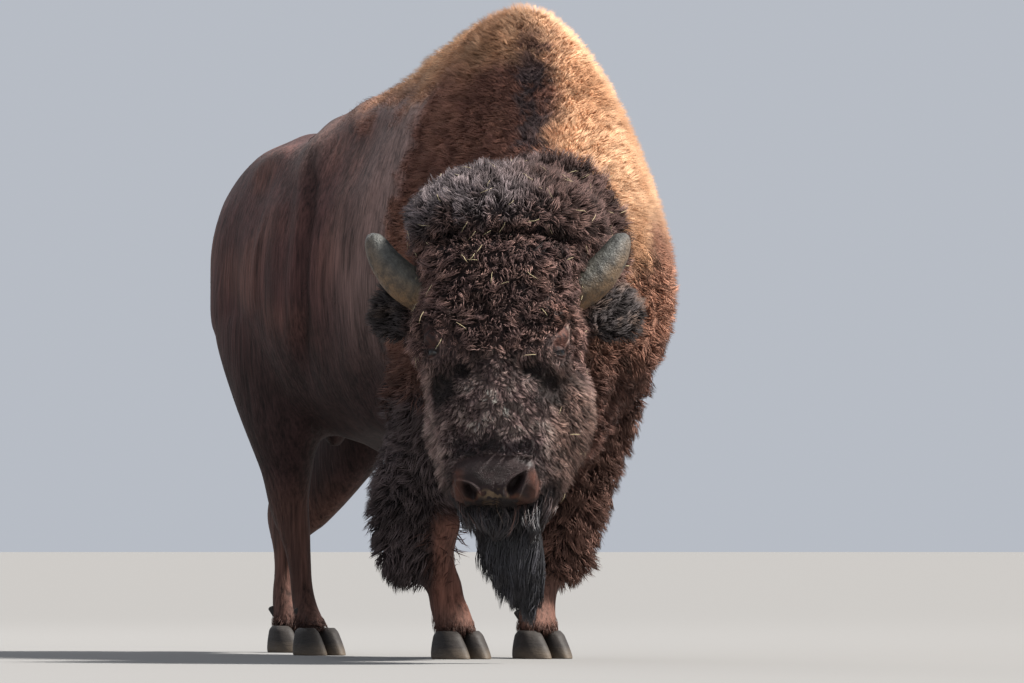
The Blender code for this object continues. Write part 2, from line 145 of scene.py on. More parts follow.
def spread(values, edges, times, share=0.5):
    """The values evened out between neighbouring points."""
    many = len(values)
    first, second = edges.T
    near = np.bincount(edges.ravel(), minlength=many)[:, None]
    share = np.broadcast_to(np.asarray(share, float).reshape(-1, 1), (many, 1))
    for _ in range(times):
        total = [
            np.bincount(first, column[second], many) + np.bincount(second, column[first], many)
            for column in values.T
        ]
        values = values * (1 - share) + np.stack(total, axis=1) / near * share
    return values


# ---- Finishes ----
class Wire:
    """An output in a material, on which sums can be written."""

    def __init__(self, finish, socket):
        self.finish, self.socket = finish, socket

    def sum(self, operation, *values):
        return self.finish.node("ShaderNodeMath", {"operation": operation}, dict(enumerate(values)))

    def __add__(self, other):
        return self.sum("ADD", self, other)

    def __mul__(self, other):
        return self.sum("MULTIPLY", self, other)

    def __sub__(self, other):
        return self.sum("SUBTRACT", self, other)

    def __rsub__(self, other):
        return self.sum("SUBTRACT", other, self)

    __radd__, __rmul__ = __add__, __mul__


class Finish:
    """A material: one Principled shader, its constants on its own sockets."""

    def __init__(self, name, **constants):
        self.material = bpy.data.materials.new(name)
        self.material.use_nodes = True
        self.nodes = self.material.node_tree.nodes
        self.shader = self.nodes["Principled BSDF"]
        for socket, value in constants.items():
            self.shader.inputs[socket.replace("_", " ")].default_value = value

    def node(self, kind, settings=None, values=None, output=0):
        node = self.nodes.new(kind)
        for key, value in (settings or {}).items():
            setattr(node, key, value)
        for key, value in (values or {}).items():
            self.connect(node.inputs[key], value)
        return Wire(self, node.outputs[output])

    def connect(self, socket, value):
        if isinstance(value, Wire):
            self.material.node_tree.links.new(value.socket, socket)
        else:
            socket.default_value = value

    def set(self, socket, value):
        self.connect(self.shader.inputs[socket], value)

    def place(self, scale=(1, 1, 1), turn=(0, 0, 0)):
        """Places on the piece, stretched and turned."""
        here = self.node("ShaderNodeTexCoord", output=3)
        return self.node("ShaderNodeMapping", {}, {"Vector": here, "Scale": scale, "Rotation": turn})

    def noise(self, scale, detail=3.0, rough=0.55, stretch=(1, 1, 1), turn=(0, 0, 0)):
        values = {"Vector": self.place(stretch, turn), "Scale": scale, "Detail": detail, "Roughness": rough}
        return self.node("ShaderNodeTexNoise", {}, values)

    def attribute(self, name, output=0):
        return self.node("ShaderNodeAttribute", {"attribute_name": name}, output=output)

    def tinted(self, base, strength):
        """The base colour made lighter or darker by a number about 1."""
        return self.node("ShaderNodeVectorMath", {"operation": "SCALE"}, {0: base, "Scale": strength})

    def mixed(self, first, second, share):
        node = self.nodes.new("ShaderNodeMix")
        node.data_type = "RGBA"
        for socket, value in zip((node.inputs[0], node.inputs[6], node.inputs[7]), (share, first, second)):
            self.connect(socket, value)
        return Wire(self, node.outputs[2])

    def between(self, value, low, high, most=1.0):
        """0 where the value is low, rising evenly to the most where it is high."""
        return self.node("ShaderNodeMapRange", {}, {0: value, 1: low, 2: high, 4: most})

    def ramp(self, value, *stops):
        """A colour that changes with a value: each stop is a value, red, green and blue."""
        node = self.nodes.new("ShaderNodeValToRGB")
        for stop in stops[1:-1]:
            node.color_ramp.elements.new(stop[0])
        for element, (at, *rgb) in zip(node.color_ramp.elements, stops):
            element.position, element.color = at, opaque(*rgb)
        self.connect(node.inputs[0], value)
        return Wire(self, node.outputs[0])

    def relief(self, height, distance, strength=1.0):
        values = {"Strength": strength, "Distance": distance, "Height": height}
        self.set("Normal", self.node("ShaderNodeBump", {}, values))


def hide_finish():
    """Short hair lying down the body over the hide, and the bare leather of the nose and lids."""
    f = Finish("hide", Specular_IOR_Level=0.14, Coat_Roughness=0.42)
    bare, wet = f.attribute("bare", 2), f.attribute("wet", 2)
    hair = f.noise(120, 5.0, 0.65, (1, 1, 0.05), (0.40, 0, 0))
    locks = f.noise(34, 3.0, 0.55, (1, 1, 0.15), (0.40, 0, 0))
    crumbs = f.noise(120, 4.0)
    speckle = (1 - bare) * (3.0 * hair + 1.6 * locks - 1.3) + bare * (0.75 + 0.5 * crumbs)
    f.set("Base Color", f.tinted(f.attribute("shade"), speckle))
    f.set("Roughness", 0.62 - 0.16 * bare + 0.12 * crumbs)
    f.set("Coat Weight", 0.16 * wet)
    cells = {"Vector": f.place(), "Scale": 300.0}
    cobbles = f.node("ShaderNodeTexVoronoi", {"feature": "DISTANCE_TO_EDGE"}, cells)
    folds = f.noise(110, 4.0, 0.6, (1, 1, 2.5), (0.3, 0, 0.4))
    leather = wet * cobbles * 1.2 + bare * (crumbs * 0.5 + folds * 0.8)
    f.relief((1 - bare) * (hair * 0.7 + locks * 0.6) + leather, 0.004)
    return f.material


def wool_finish(name, grain, gloss=0.1, roughness=0.7):
    """Hair or wool, its colour carried by the locks."""
    f = Finish(name, Roughness=roughness, Specular_IOR_Level=gloss, Sheen_Weight=0.03, Sheen_Roughness=0.4)
    fine = f.noise(grain, 2.0)
    f.set("Base Color", f.tinted(f.attribute("shade"), 0.60 + 0.80 * fine))
    f.relief(fine, 0.0012, 0.7)
    return f.material


def horn_finish():
    f = Finish("horn", Specular_IOR_Level=0.45, Coat_Roughness=0.35)
    along, under = f.attribute("along", 2), f.attribute("under", 2)
    body = f.ramp(along, (0, 80, 62, 42), (0.22, 82, 74, 60), (0.6, 78, 78, 74), (1, 62, 63, 62))
    clouds = f.noise(38, 5.0, 0.62)
    specks = f.noise(210, 3.0)
    grain = f.noise(95, 4.0, 0.7)
    ochre = f.mixed(body, opaque(140, 100, 54), under * (1 - along) * 0.95)
    stained = f.mixed(ochre, opaque(36, 35, 32), f.between(clouds, 0.42, 0.66, 0.75))
    f.set("Base Color", f.tinted(stained, 0.35 + 1.1 * specks))
    f.set("Roughness", 0.40 + 0.28 * clouds)
    rings = f.node("ShaderNodeMath", {"operation": "SINE"}, {0: along * 150 + 9 * clouds})
    root = f.between(along, 0.34, 0.05)
    f.relief(grain * 0.8 + clouds * 0.9 + specks * 0.4 + rings * root * 0.35, 0.005)
    return f.material


def hoof_finish():
    f = Finish("hoof", Specular_IOR_Level=0.25)
    level = f.noise(70, 5.0, 0.6, (0.4, 0.4, 1.6))
    dust = f.noise(45, 5.0, 0.65)
    high = f.node("ShaderNodeSeparateXYZ", {}, {0: f.place()}, output=2)
    low = f.between(high + 0.02 * dust, 0.045, 0.008)
    base = f.mixed(opaque(44, 40, 38), opaque(112, 98, 82), low * dust)
    f.set("Base Color", f.tinted(base, 0.65 + 0.7 * level))
    f.set("Roughness", 0.45 + 0.35 * dust)
    f.relief(level + 0.8 * dust, 0.002)
    return f.material


def eye_finish():
    f = Finish("eye", Roughness=0.12, Specular_IOR_Level=0.3, Coat_Weight=0.3, Coat_Roughness=0.02)
    pupil, iris = ((0, 4, 4, 6), (0.34, 6, 5, 6)), ((0.42, 30, 18, 12), (0.66, 24, 15, 11))
    rings = f.ramp(f.attribute("iris", 2), *pupil, *iris, (0.76, 10, 7, 7), (1, 50, 36, 31))
    f.set("Base Color", f.tinted(rings, 0.6 + 0.8 * f.noise(160, 4.0)))
    return f.material


def straw_finish():
    """Bits of dry grass caught in the wool."""
    f = Finish("straw", Roughness=0.6, Specular_IOR_Level=0.3)
    f.set("Base Color", f.tinted(tuple(colour(206, 190, 152)), 0.3 + 1.2 * f.noise(60)))
    return f.material


# ---- Meshes ----
def linked(name, data):
    obj = bpy.data.objects.new(name, data)
    bpy.context.scene.collection.objects.link(obj)
    return obj


def piece(name, shape, material, nodes=()):
    """A visible piece, from a mesh or an object, with the CAD nodes that it stands in for."""
    obj = shape if isinstance(shape, bpy.types.Object) else linked(name, shape)
    obj.data.materials.clear()
    obj.data.materials.append(material)
    obj.data.shade_smooth()
    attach(obj, "root")
    if nodes:
        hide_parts(*nodes)
    return obj


def made(bm, name):
    bmesh.ops.recalc_face_normals(bm, faces=bm.faces)
    mesh = bpy.data.meshes.new(name)
    bm.to_mesh(mesh)
    bm.free()
    return mesh


def applied(obj):
    graph = bpy.context.evaluated_depsgraph_get()
    mesh = bpy.data.meshes.new_from_object(obj.evaluated_get(graph))
    obj.modifiers.clear()
    old, obj.data = obj.data, mesh
    bpy.data.meshes.remove(old)
    return obj


def rounded(mesh):
    """The mesh as an object of the same name, made finer and rounder."""
    obj = linked(mesh.name, mesh)
    finer_by = obj.modifiers.new("round", "SUBSURF")
    finer_by.levels = finer_by.render_levels = 1
    return applied(obj)


def smooth_rows(rows, steps):
    """The rows with more between them, on a smooth curve through them all."""
    rows = np.array(rows, float)
    padded = np.vstack([2 * rows[0] - rows[1], rows, 2 * rows[-1] - rows[-2]])
    found = []
    for i in range(1, len(rows)):
        a, b, c, d = padded[i - 1 : i + 3]
        for t in np.arange(steps) / steps:
            bend, twist = 2 * a - 5 * b + 4 * c - d, 3 * b - a - 3 * c + d
            found.append(b + 0.5 * ((c - a) * t + bend * t * t + twist * t**3))
    return np.array([*found, rows[-1]])


def lofted(name, rows, count, shape):
    """A closed form through the rows. shape(row, angle) gives the place of each point of a ring."""
    bm = bmesh.new()
    along = bm.verts.layers.float.new("along")
    under = bm.verts.layers.float.new("under")
    loops = []
    for number, row in enumerate(rows):
        ring = bmesh.ops.create_circle(bm, segments=count, radius=1)["verts"]
        for k, vertex in enumerate(ring):
            place, low = shape(row, 2 * math.pi * k / count)
            vertex.co = Vector(place)
            vertex[along], vertex[under] = number / (len(rows) - 1), low
        loops.append(list({edge for vertex in ring for edge in vertex.link_edges}))
        if len(loops) > 1:
            bmesh.ops.bridge_loops(bm, edges=loops[-2] + loops[-1])
    for loop in (loops[0], loops[-1]):
        cap = bmesh.ops.contextual_create(bm, geom=loop)["faces"]
        bmesh.ops.inset_region(bm, faces=cap, thickness=0.002)
    return made(bm, name)


# ---- The skin ----
VOXEL, SWELL = 0.0125, 0.0016


def flesh():
    """The solids of flesh in one mesh, a little swollen so that the cuts between them close."""
    bm = bmesh.new()
    owner = bm.faces.layers.int.new("owner")
    for number, name in enumerate([*FLESH, "eye_left", "eye_right"]):
        start = len(bm.faces)
        bm.from_mesh(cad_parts[name].data)
        bm.faces.ensure_lookup_table()
        for face in bm.faces[start:]:
            face[owner] = number if number < len(FLESH) else 0
    bmesh.ops.remove_doubles(bm, verts=bm.verts, dist=1e-5)
    bm.normal_update()
    for vertex in bm.verts:
        vertex.co += vertex.normal * SWELL
    bm.faces.ensure_lookup_table()
    owners = [face[owner] for face in bm.faces]
    return bm, owners


def finer(mesh, wanted):
    """The mesh with its edges halved wherever the places are wanted."""
    points = points_of(mesh)
    bm = bmesh.new()
    bm.from_mesh(mesh)
    near = wanted(points)
    edges = [edge for edge in bm.edges if near[edge.verts[0].index] and near[edge.verts[1].index]]
    bmesh.ops.subdivide_edges(bm, edges=edges, cuts=1, use_grid_fill=True)
    bm.to_mesh(mesh)
    bm.free()


def points_of(mesh):
    points = np.empty(len(mesh.vertices) * 3, np.float32)
    mesh.vertices.foreach_get("co", points)
    return points.reshape(-1, 3).astype(float)


def edges_of(mesh):
    edges = np.empty(len(mesh.edges) * 2, np.int32)
    mesh.edges.foreach_get("vertices", edges)
    return edges.reshape(-1, 2)


def triangles_of(mesh):
    mesh.calc_loop_triangles()
    corners = np.empty(len(mesh.loop_triangles) * 3, np.int32)
    loops = corners.copy()
    mesh.loop_triangles.foreach_get("vertices", corners)
    mesh.loop_triangles.foreach_get("loops", loops)
    return corners.reshape(-1, 3), loops.reshape(-1, 3)


def normals_of(points, corners):
    a, b, c = (points[corners[:, i]] for i in range(3))
    across = np.cross(b - a, c - a)
    total = [sum(np.bincount(corners[:, i], column, len(points)) for i in range(3)) for column in across.T]
    return unit(np.stack(total, axis=1))


def eye_axes(side):
    """The eye's centre, and its own directions: towards the nose, up the face, and out."""
    out = unit(np.array((side * 0.80, 0.60, 0.0))) @ HEAD
    up = np.array((0, 0, -1.0)) @ HEAD
    return from_head(EYE_AT * (side, 1, 1)), np.array((np.cross(up, out) * -side, up, out))


def by_eye(points, side):
    """How far the points lie from the eye's centre: towards the nose, up the face, and out."""
    centre, axes = eye_axes(side)
    return ((points - centre) @ axes.T).T


def near_eyes(points):
    return np.min([np.linalg.norm(points - eye_axes(side)[0], axis=1) for side in (1, -1)], axis=0)


def face_front(points, top, bottom, wide):
    x, y, z = on_head(points).T
    return (z > top) & (z < bottom) & (abs(x) < wide) & (y > -0.02)


def cape_edge(b):
    """How far back the long wool of the forequarters reaches, by the height on the side."""
    slant = np.interp(b[:, 2], (0.8, 1.1, 1.3, 1.5, 1.6), (0.21, 0.20, 0.16, 0.10, 0.12))
    return slant + 0.030 * swirl(b * (1, 1, 0.45), 0.30, 21)


def coat_depth(points, part):
    """How deep the skin lies under the tips of the coat."""
    b = on_body(points)
    _, y, z = on_head(points).T
    down_face = (-0.1, 0.08, 0.18, 0.28, 0.38, 0.49, 0.515, 0.53)
    face = np.interp(z, down_face, (0.045, 0.036, 0.024, 0.012, 0.008, 0.008, 0.003, 0))
    jaw = 0.022 * ease(0.05, -0.02, y) * ease(0.15, 0.25, z)
    pad = ease(0.50, 0.53, z) * ease(0, 0.03, y)
    head = np.maximum(face, jaw) * ease(0.030, 0.075, near_eyes(points)) * (1 - 0.9 * pad)
    cape = ease(0.04, -0.04, b[:, 1] - cape_edge(b))
    fringe = 0.020 * ease(0.66, 0.50, b[:, 1]) * ease(1.44, 1.56, b[:, 2])
    short, long = 0.006, 0.036
    trunk = short + (long - short) * cape + (1 - cape) * fringe
    chap = np.interp(b[:, 2], (0.14, 0.21, 0.30, 0.42), (0.004, 0.016, 0.046, 0.046))
    depths = {
        "head": head, "neck": 0.044, "hump": trunk, "trunk": trunk, "beard": 0.02, "ear": 0.011,
        "tail": np.interp(b[:, 2], (0.6, 0.86, 0.95), (0.018, 0.014, 0.006)),
        "scrotum": 0.004, "foreleg": chap * (1 - 0.8 * inner_shin(b)), "hind": short,
    }
    return sum(share_of(part, name) * depth for name, depth in depths.items())


def nostril(x, z):
    """0 in the middle of a nostril and 1 on its rim: a drop that tapers upwards and outwards."""
    px, pz = abs(x + 0.0075) - 0.0575, z + 0.11 * x - NOSTRILS
    along, across = 0.66 * px - 0.75 * pz, 0.75 * px + 0.66 * pz
    wide = (0.0120 - 0.0050 * np.clip(along / 0.030, -1, 1)) * np.where(x < 0, 0.80, 1.0)
    return np.hypot(along / np.where(x < 0, 0.024, 0.029), across / wide)


def heavy_lid(nose, up):
    """1 on the rim of the bare fold of skin that runs up and back from the eye, less inside it."""
    along, across = -0.42 * nose + 0.91 * (up - 0.032), -0.91 * nose - 0.42 * (up - 0.032) + 0.003
    return np.hypot(along / 0.048, across / 0.022)


def inner_shin(b):
    """1 on the short-haired inner front of the right foreleg, below the long hair of its outer side."""
    x, y, z = b.T
    inward = 0.84 * (x + 0.187) - 0.54 * (y - 0.105)
    return ease(-0.065, -0.035, inward) * ease(0.43, 0.35, z) * (x < -0.08) * ease(0.10, 0.16, z)


def hollows(x, y, z):
    """1 in the hollows below and inside of each eye, which are darkened with painted shadow, 0 away from them
    and on the sides of the head.
    """
    below = bell(abs(x), 0.137, 0.040) * bell(z, 0.300, 0.043)
    inside = 0.85 * bell(abs(x), 0.085, 0.040) * bell(z, 0.270, 0.025)
    return np.maximum(below, inside) * ease(-0.005, 0.035, y)


def sculpt_face(points, normals):
    """The folds of the face: brows and hollows, the nose pad with its nostrils, the lips, and the lids."""
    x, y, z = on_head(points).T
    aside = abs(x)
    front = ease(-0.03, 0.02, y)
    bridge = 0.006 * bell(x, 0, 0.035) * ease(0.20, 0.30, z) * ease(0.53, 0.46, z)
    lift = bridge - 0.022 * hollows(x, y, z)
    for s in SIDES.values():
        lift += 0.016 * bell(x, s * 0.165, 0.045) * bell(z, 0.140, 0.040)
        lift -= 0.009 * bell(x, s * 0.090, 0.024) * bell(z, 0.415, 0.060)
        lift += 0.010 * bell(x, s * 0.112, 0.024) * bell(z, 0.462, 0.040)
    lift -= 0.026 * bell(z, FOLD, 0.022) * ease(0.26, 0.18, aside) * ease(0.02, 0.08, y)
    # the pad stands a little proud of the hair round it
    lift += 0.004 * ease(0.488, 0.500, z) * ease(0.104, 0.092, aside)
    # drop-shaped nostrils, with a swollen rim, and the wing beside each
    hole = nostril(x, z)
    lift += front * (0.0060 * bell(hole, 1.42, 0.32) - 0.026 * ease(1.10, 0.55, hole))
    lift += 0.008 * front * bell(aside, 0.094, 0.016) * bell(z, 0.560, 0.032)
    lift -= 0.004 * front * bell(x, 0, 0.030) * bell(z, 0.545, 0.020)
    # the groove down the middle of the lip, and the mouth
    lift -= 0.003 * front * bell(x, 0, 0.004) * ease(0.560, 0.575, z) * ease(0.606, 0.600, z)
    lift -= 0.009 * front * bell(z, MOUTH, 0.0045) * ease(0.10, 0.08, aside)
    points = points + normals * lift[:, None]
    for s in SIDES.values():
        points = sculpt_lids(points, normals, s)
    return points


def sculpt_lids(points, normals, side):
    """The lids as a shell round the eyeball, with the slit between them, and the heavy fold above."""
    nose, up, out = by_eye(points, side)
    fold = 0.009 * bell(heavy_lid(nose, up), 0, 0.9) * ease(0.016, 0.030, up) * (out > -0.05)
    points = points + normals * fold[:, None]
    slit = 0.0040 * np.clip(1 - (nose / 0.0190) ** 2, 0, 1) ** 0.8
    opening = ease(0.0009, -0.0009, abs(up + 0.003 + 0.28 * nose) - slit)
    lid = EYE_RADIUS + 0.0034 - 0.0010 * ease(0.012, 0.003, abs(up) - slit)
    lid = lid + 0.0035 * bell(up, 0.021, 0.0050)
    lid = lid - 0.0030 * bell(up, 0.0145, 0.0022) - 0.0022 * bell(up, -0.0135, 0.0022)
    radius = lid * (1 - opening) + (EYE_RADIUS - 0.005) * opening
    centre = eye_axes(side)[0]
    shell = centre + unit(points - centre) * radius[:, None]
    return blend(points, shell, ease(0.036, 0.022, np.sqrt(nose**2 + up**2)) * ease(0.0, 0.006, out))


def stifle_edge(z):
    """How the front edge of the hindquarters bends back, by the height."""
    return 0.10 * bell(z, 1.40, 0.14) + 0.04 * ease(0.95, 0.80, z)


def sculpt_body(points, normals, part):
    """Hip and flank: wrinkles by the point of the hip, and the crease in front of the hindquarters."""
    b = on_body(points)
    x, y, z = b.T
    trunk = share_of(part, "trunk", "hump")
    side = trunk * ease(0.10, 0.22, abs(x))
    lift = 0.012 * bell(y, 0.70, 0.06) * bell(z, 1.35, 0.07) * side
    for k in range(4):
        wrinkle = bell(y, 0.67 + 0.026 * k + 0.3 * (z - 1.36), 0.007) * bell(z, 1.36 - 0.010 * k, 0.035)
        lift -= trunk * 0.004 * wrinkle
    # the hindquarters stand a little proud of the flank, with a crease in front of them down to the stifle
    edge = 0.615 + stifle_edge(z)
    tall = ease(0.72, 0.86, z) * ease(1.42, 1.26, z)
    lift += side * tall * (0.009 * bell(y, edge + 0.045, 0.035) - 0.014 * bell(y, edge - 0.012, 0.026))
    lift -= side * 0.007 * ease(edge - 0.02, edge - 0.06, y) * ease(edge - 0.30, edge - 0.12, y) * tall
    lift += side * 0.006 * bell(y, 0.875 - 0.06 * (z - 1.1), 0.022) * bell(z, 1.08, 0.13)
    lift += trunk * 0.005 * swirl(b * (1, 1, 0.35), 0.16, 3) * ease(0.25, 0.35, y)
    return points + normals * lift[:, None]


def slim_beard(points, beard):
    """The beard drawn in about its own middle line, so that its skin lies well inside the hair."""
    x, y, z = on_head(points).T
    down, root, slim, flat = (0.50, 0.64, 0.842), 0.56, 0.76, 0.7
    middle_x = np.interp(z, down, (0.010, 0.042, 0.088))
    middle_y = np.interp(z, down, (-0.09, -0.135, -0.210))
    core = (middle_x + (x - middle_x) * slim, middle_y + (y - middle_y) * flat, root + (z - root) * slim)
    return blend(points, from_head(np.stack(core, axis=1)), beard)


def skin():
    """One closed skin through all the flesh, as an object, with the share of each node at every point."""
    solids, owners = flesh()
    tree = BVHTree.FromBMesh(solids)
    mesh = bpy.data.meshes.new("skin")
    solids.to_mesh(mesh)
    solids.free()
    obj = linked("skin", mesh)
    shell = obj.modifiers.new("shell", "REMESH")
    shell.mode, shell.voxel_size = "VOXEL", VOXEL
    even = obj.modifiers.new("even", "SMOOTH")
    even.factor, even.iterations = 0.5, 4
    mesh = applied(obj).data
    finer(mesh, lambda p: face_front(p, 0.02, 0.66, 0.26) | (near_eyes(p) < 0.09))
    finer(mesh, lambda p: face_front(p, 0.485, 0.635, 0.125) | (near_eyes(p) < 0.055))
    finer(mesh, lambda p: near_eyes(p) < 0.036)
    finer(mesh, lambda p: face_front(p, 0.53, 0.612, 0.105))
    points, edges, corners = points_of(mesh), edges_of(mesh), triangles_of(mesh)[0]
    part = np.zeros((len(points), len(FLESH)))
    for k, place in enumerate(points):
        part[k, owners[tree.find_nearest(place)[2]]] = 1
    part = spread(part, edges, 4)
    points = spread(points, edges, 6, 0.5 * ease(0.0, 0.05, near_eyes(points)) + 0.2)
    depth = spread(coat_depth(points, part)[:, None], edges, 3)
    points = slim_beard(points, share_of(part, "beard"))
    for _ in range(3):
        points = points - normals_of(points, corners) * depth / 3
        points = spread(points, edges, 1, np.minimum(depth[:, 0] * 14, 0.5))
    points = sculpt_body(points, normals_of(points, corners), part)
    points = sculpt_face(points, spread(normals_of(points, corners), edges, 4))
    mesh.vertices.foreach_set("co", points.ravel().astype(np.float32))
    mesh.update()
    return obj, points, part


def unwrapped(obj):
    """The skin's own map, on which every lock has its patch."""
    bpy.context.view_layer.objects.active = obj
    obj.select_set(True)
    obj.data.uv_layers.new(name="OFBake")
    bpy.ops.object.mode_set(mode="EDIT")
    bpy.ops.mesh.select_all(action="SELECT")
    bpy.ops.uv.smart_project(angle_limit=math.radians(66), island_margin=0.0015)
    bpy.ops.object.mode_set(mode="OBJECT")
    uv = np.empty(len(obj.data.loops) * 2, np.float32)
    obj.data.uv_layers["OFBake"].data.foreach_get("uv", uv)
    return uv.reshape(-1, 2)


# ---- Markings and lie of the coat, the same for the skin and for every lock ----
# Each function of tones gives the colours near the roots and at the tips. The darker roots are partly the
# hair's own colour and partly painted shade down among the hair.
def cape_share(points, b):
    """1 on the long wool of the forequarters and 0 behind it, and the same for the wool along the back."""
    ragged = 0.020 * swirl(points, 0.07, 22) + 0.010 * swirl(points, 0.03, 25)
    behind = b[:, 1] - cape_edge(b) - 0.030 + ragged
    height = b[:, 2] + 0.04 * swirl(points, 0.12, 23) + 0.015 * swirl(points, 0.04, 24)
    return ease(0.035, -0.035, behind), ease(0.74, 0.42, b[:, 1]) * ease(1.38, 1.54, height)


def share_of(part, *names):
    return sum(part[:, k] for k, name in enumerate(FLESH) if name.startswith(names))


def flank_tones(b, patches):
    """Flank and rump, greyer behind the shoulder, darker down the thigh and under the belly, with a painted
    highlight on the point of the hip and painted shade in the crease in front of the hindquarters.
    """
    x, y, z = b.T
    tips = painted(
        blend(
            shades((108, 87, 82), (118, 89, 78), ease(-0.1, 0.1, x)),
            shades((70, 46, 44), (84, 56, 50), ease(-0.5, 1, patches)),
            ease(0.22, 0.60, y),
        ),
        # lighter on the point of the hip: a painted highlight
        ((104, 82, 76), 0.7 * bell(y, 0.72, 0.10) * bell(z, 1.37, 0.09)),
        ((48, 33, 32), ease(1.02, 0.72, z)),
        ((80, 56, 49), ease(0.52, 0.36, z)),
    )
    tips = dimmed(tips, -0.16 * swirl(b * (1, 1, 0.22), 0.10, 9))
    # painted shade in the crease in front of the hindquarters
    crease = bell(y, 0.60 + stifle_edge(z), 0.016) * ease(0.74, 0.86, z) * ease(1.42, 1.30, z)
    tips = dimmed(tips, 0.5 * crease)
    return tips * 0.8, tips


def cape_tones(points, b, patches, fine):
    """The long wool: golden where the sun has bleached it, with painted sunlight on that side and on the
    fringe along the back, brown with painted shade on the side away from the sun, dark along the crest.
    """
    x, y, z = b.T
    shoulder = 0.84 * x - 0.54 * y  # how far towards the left shoulder, the side that is bleached and lit, where light is painted in
    golden = shades((216, 174, 140), (194, 148, 114), ease(-0.4, 0.9, patches + 0.5 * fine))
    brown = shades((138, 98, 86), (164, 119, 102), ease(-0.5, 0.8, fine + patches))
    # golden towards the left shoulder and brown away from it: partly bleached wool, partly painted sunlight
    # and painted shade
    tips = blend(brown, golden, ease(-0.02, 0.10, shoulder + 0.04 * patches))
    # golden over the top of the hump: partly bleached wool, partly painted sunlight
    tips = blend(tips, golden, 0.9 * ease(1.50, 1.62, z + 0.03 * patches))
    low = ease(1.16, 0.98, z + 0.08 * patches - 0.25 * x)
    tips = painted(
        tips,
        ((154, 112, 93), low * ease(-0.05, 0.15, shoulder)),
        ((104, 76, 68), ease(0.95, 0.70, z)),
    )
    # much lighter along the back behind the hump: painted rim light on the fringe of wool
    tips = blend(tips, 1.35 * golden, 0.85 * ease(0.14, 0.22, y) * ease(1.40, 1.56, z + 0.03 * patches))
    beside = abs(shoulder + 0.022 * fine + 0.016 * swirl(points, 0.03, 14) + 0.004)
    crest = ease(0.040, 0.016, beside) * ease(1.18, 1.30, z) * ease(1.70, 1.60, z) * ease(0.12, 0.02, y)
    tips = blend(tips, shades((80, 69, 71), (122, 90, 80), ease(1.52, 1.62, z)), 0.95 * crest)
    # a little darker far towards the left shoulder, toning down the brightest lit side
    tips = dimmed(tips, 0.14 * ease(0.06, 0.22, shoulder))
    # the roots lighter towards the left shoulder: less painted shade among them on the lit side
    return tips * (0.55 + 0.35 * ease(0.0, 0.1, shoulder))[:, None], tips


def chap_tones(b):
    """The hairy forelegs, and the short reddish hair below and inside."""
    tips = painted(
        shades((98, 86, 86), (120, 90, 80), ease(-0.10, 0.08, b[:, 0])),
        ((104, 74, 64), ease(0.22, 0.15, b[:, 2])),
        ((116, 78, 66), 0.9 * inner_shin(b)),
    )
    return tips * 0.4, tips


def head_tones(h, patches, fine):
    """The dark bonnet and curls, greyer on the bonnet's right with a painted sky reflection, the paler
    bridge, the left cheek and brow paler with painted sunlight, painted shade in the crease under the bonnet,
    on the right of the face and in the hollows at the eyes, and the black chin.
    """
    x, y, z = h.T
    aside = abs(x)
    # the bonnet greyer on its right: a painted sky reflection
    top = shades((88, 68, 64), (126, 116, 118), ease(0.14, -0.10, x + 0.05 * patches))
    curls = shades((116, 92, 88), (174, 138, 128), ease(-0.3, 0.8, fine))
    bridge = shades((180, 151, 146), (236, 208, 198), ease(-0.3, 0.8, fine))
    tips = blend(top, curls, ease(-0.17, -0.08, z + 0.02 * fine))
    tips = painted(blend(tips, bridge, ease(0.20, 0.32, z)), ((104, 86, 82), ease(0.46, 0.52, z)))
    # painted shade in the crease under the bonnet
    tips = dimmed(tips, 0.88 * bell(z, FOLD - 0.004, 0.026) * ease(0.24, 0.14, aside) * ease(0, 0.06, y))
    # the left cheek and brow paler: painted sunlight
    tips = painted(
        tips,
        ((192, 157, 143), ease(0.11, 0.16, x) * ease(0.20, 0.30, z) * ease(0.56, 0.46, z)),
        ((172, 126, 110), 0.7 * bell(x, 0.16, 0.035) * bell(z, 0.125, 0.040)),
    )
    # the right of the face darker: painted shade
    tips = dimmed(tips, 0.32 * ease(-0.05, -0.12, x) * ease(0.28, 0.40, z))
    # painted shadow in the hollows below and inside of each eye, on the tips and the roots
    shaded = np.minimum(1.7 * hollows(x, y, z), 1)
    tips = dimmed(tips, 0.92 * shaded)
    roots = dimmed(shades((32, 26, 27), (60, 48, 48), ease(0.2, 0.3, z)), 0.75 * shaded)
    jaw = ease(0.49, 0.55, z) * ease(0.025, -0.015, y)
    chin = np.maximum(ease(0.585, 0.61, z), jaw) * ease(0.17, 0.12, aside)
    above_pad = bell(z, 0.470, 0.034) * ease(0.13, 0.09, aside)
    tips = painted(tips, ((70, 62, 66), above_pad), ((58, 56, 60), chin))
    return painted(roots, ((26, 25, 28), chin)), tips


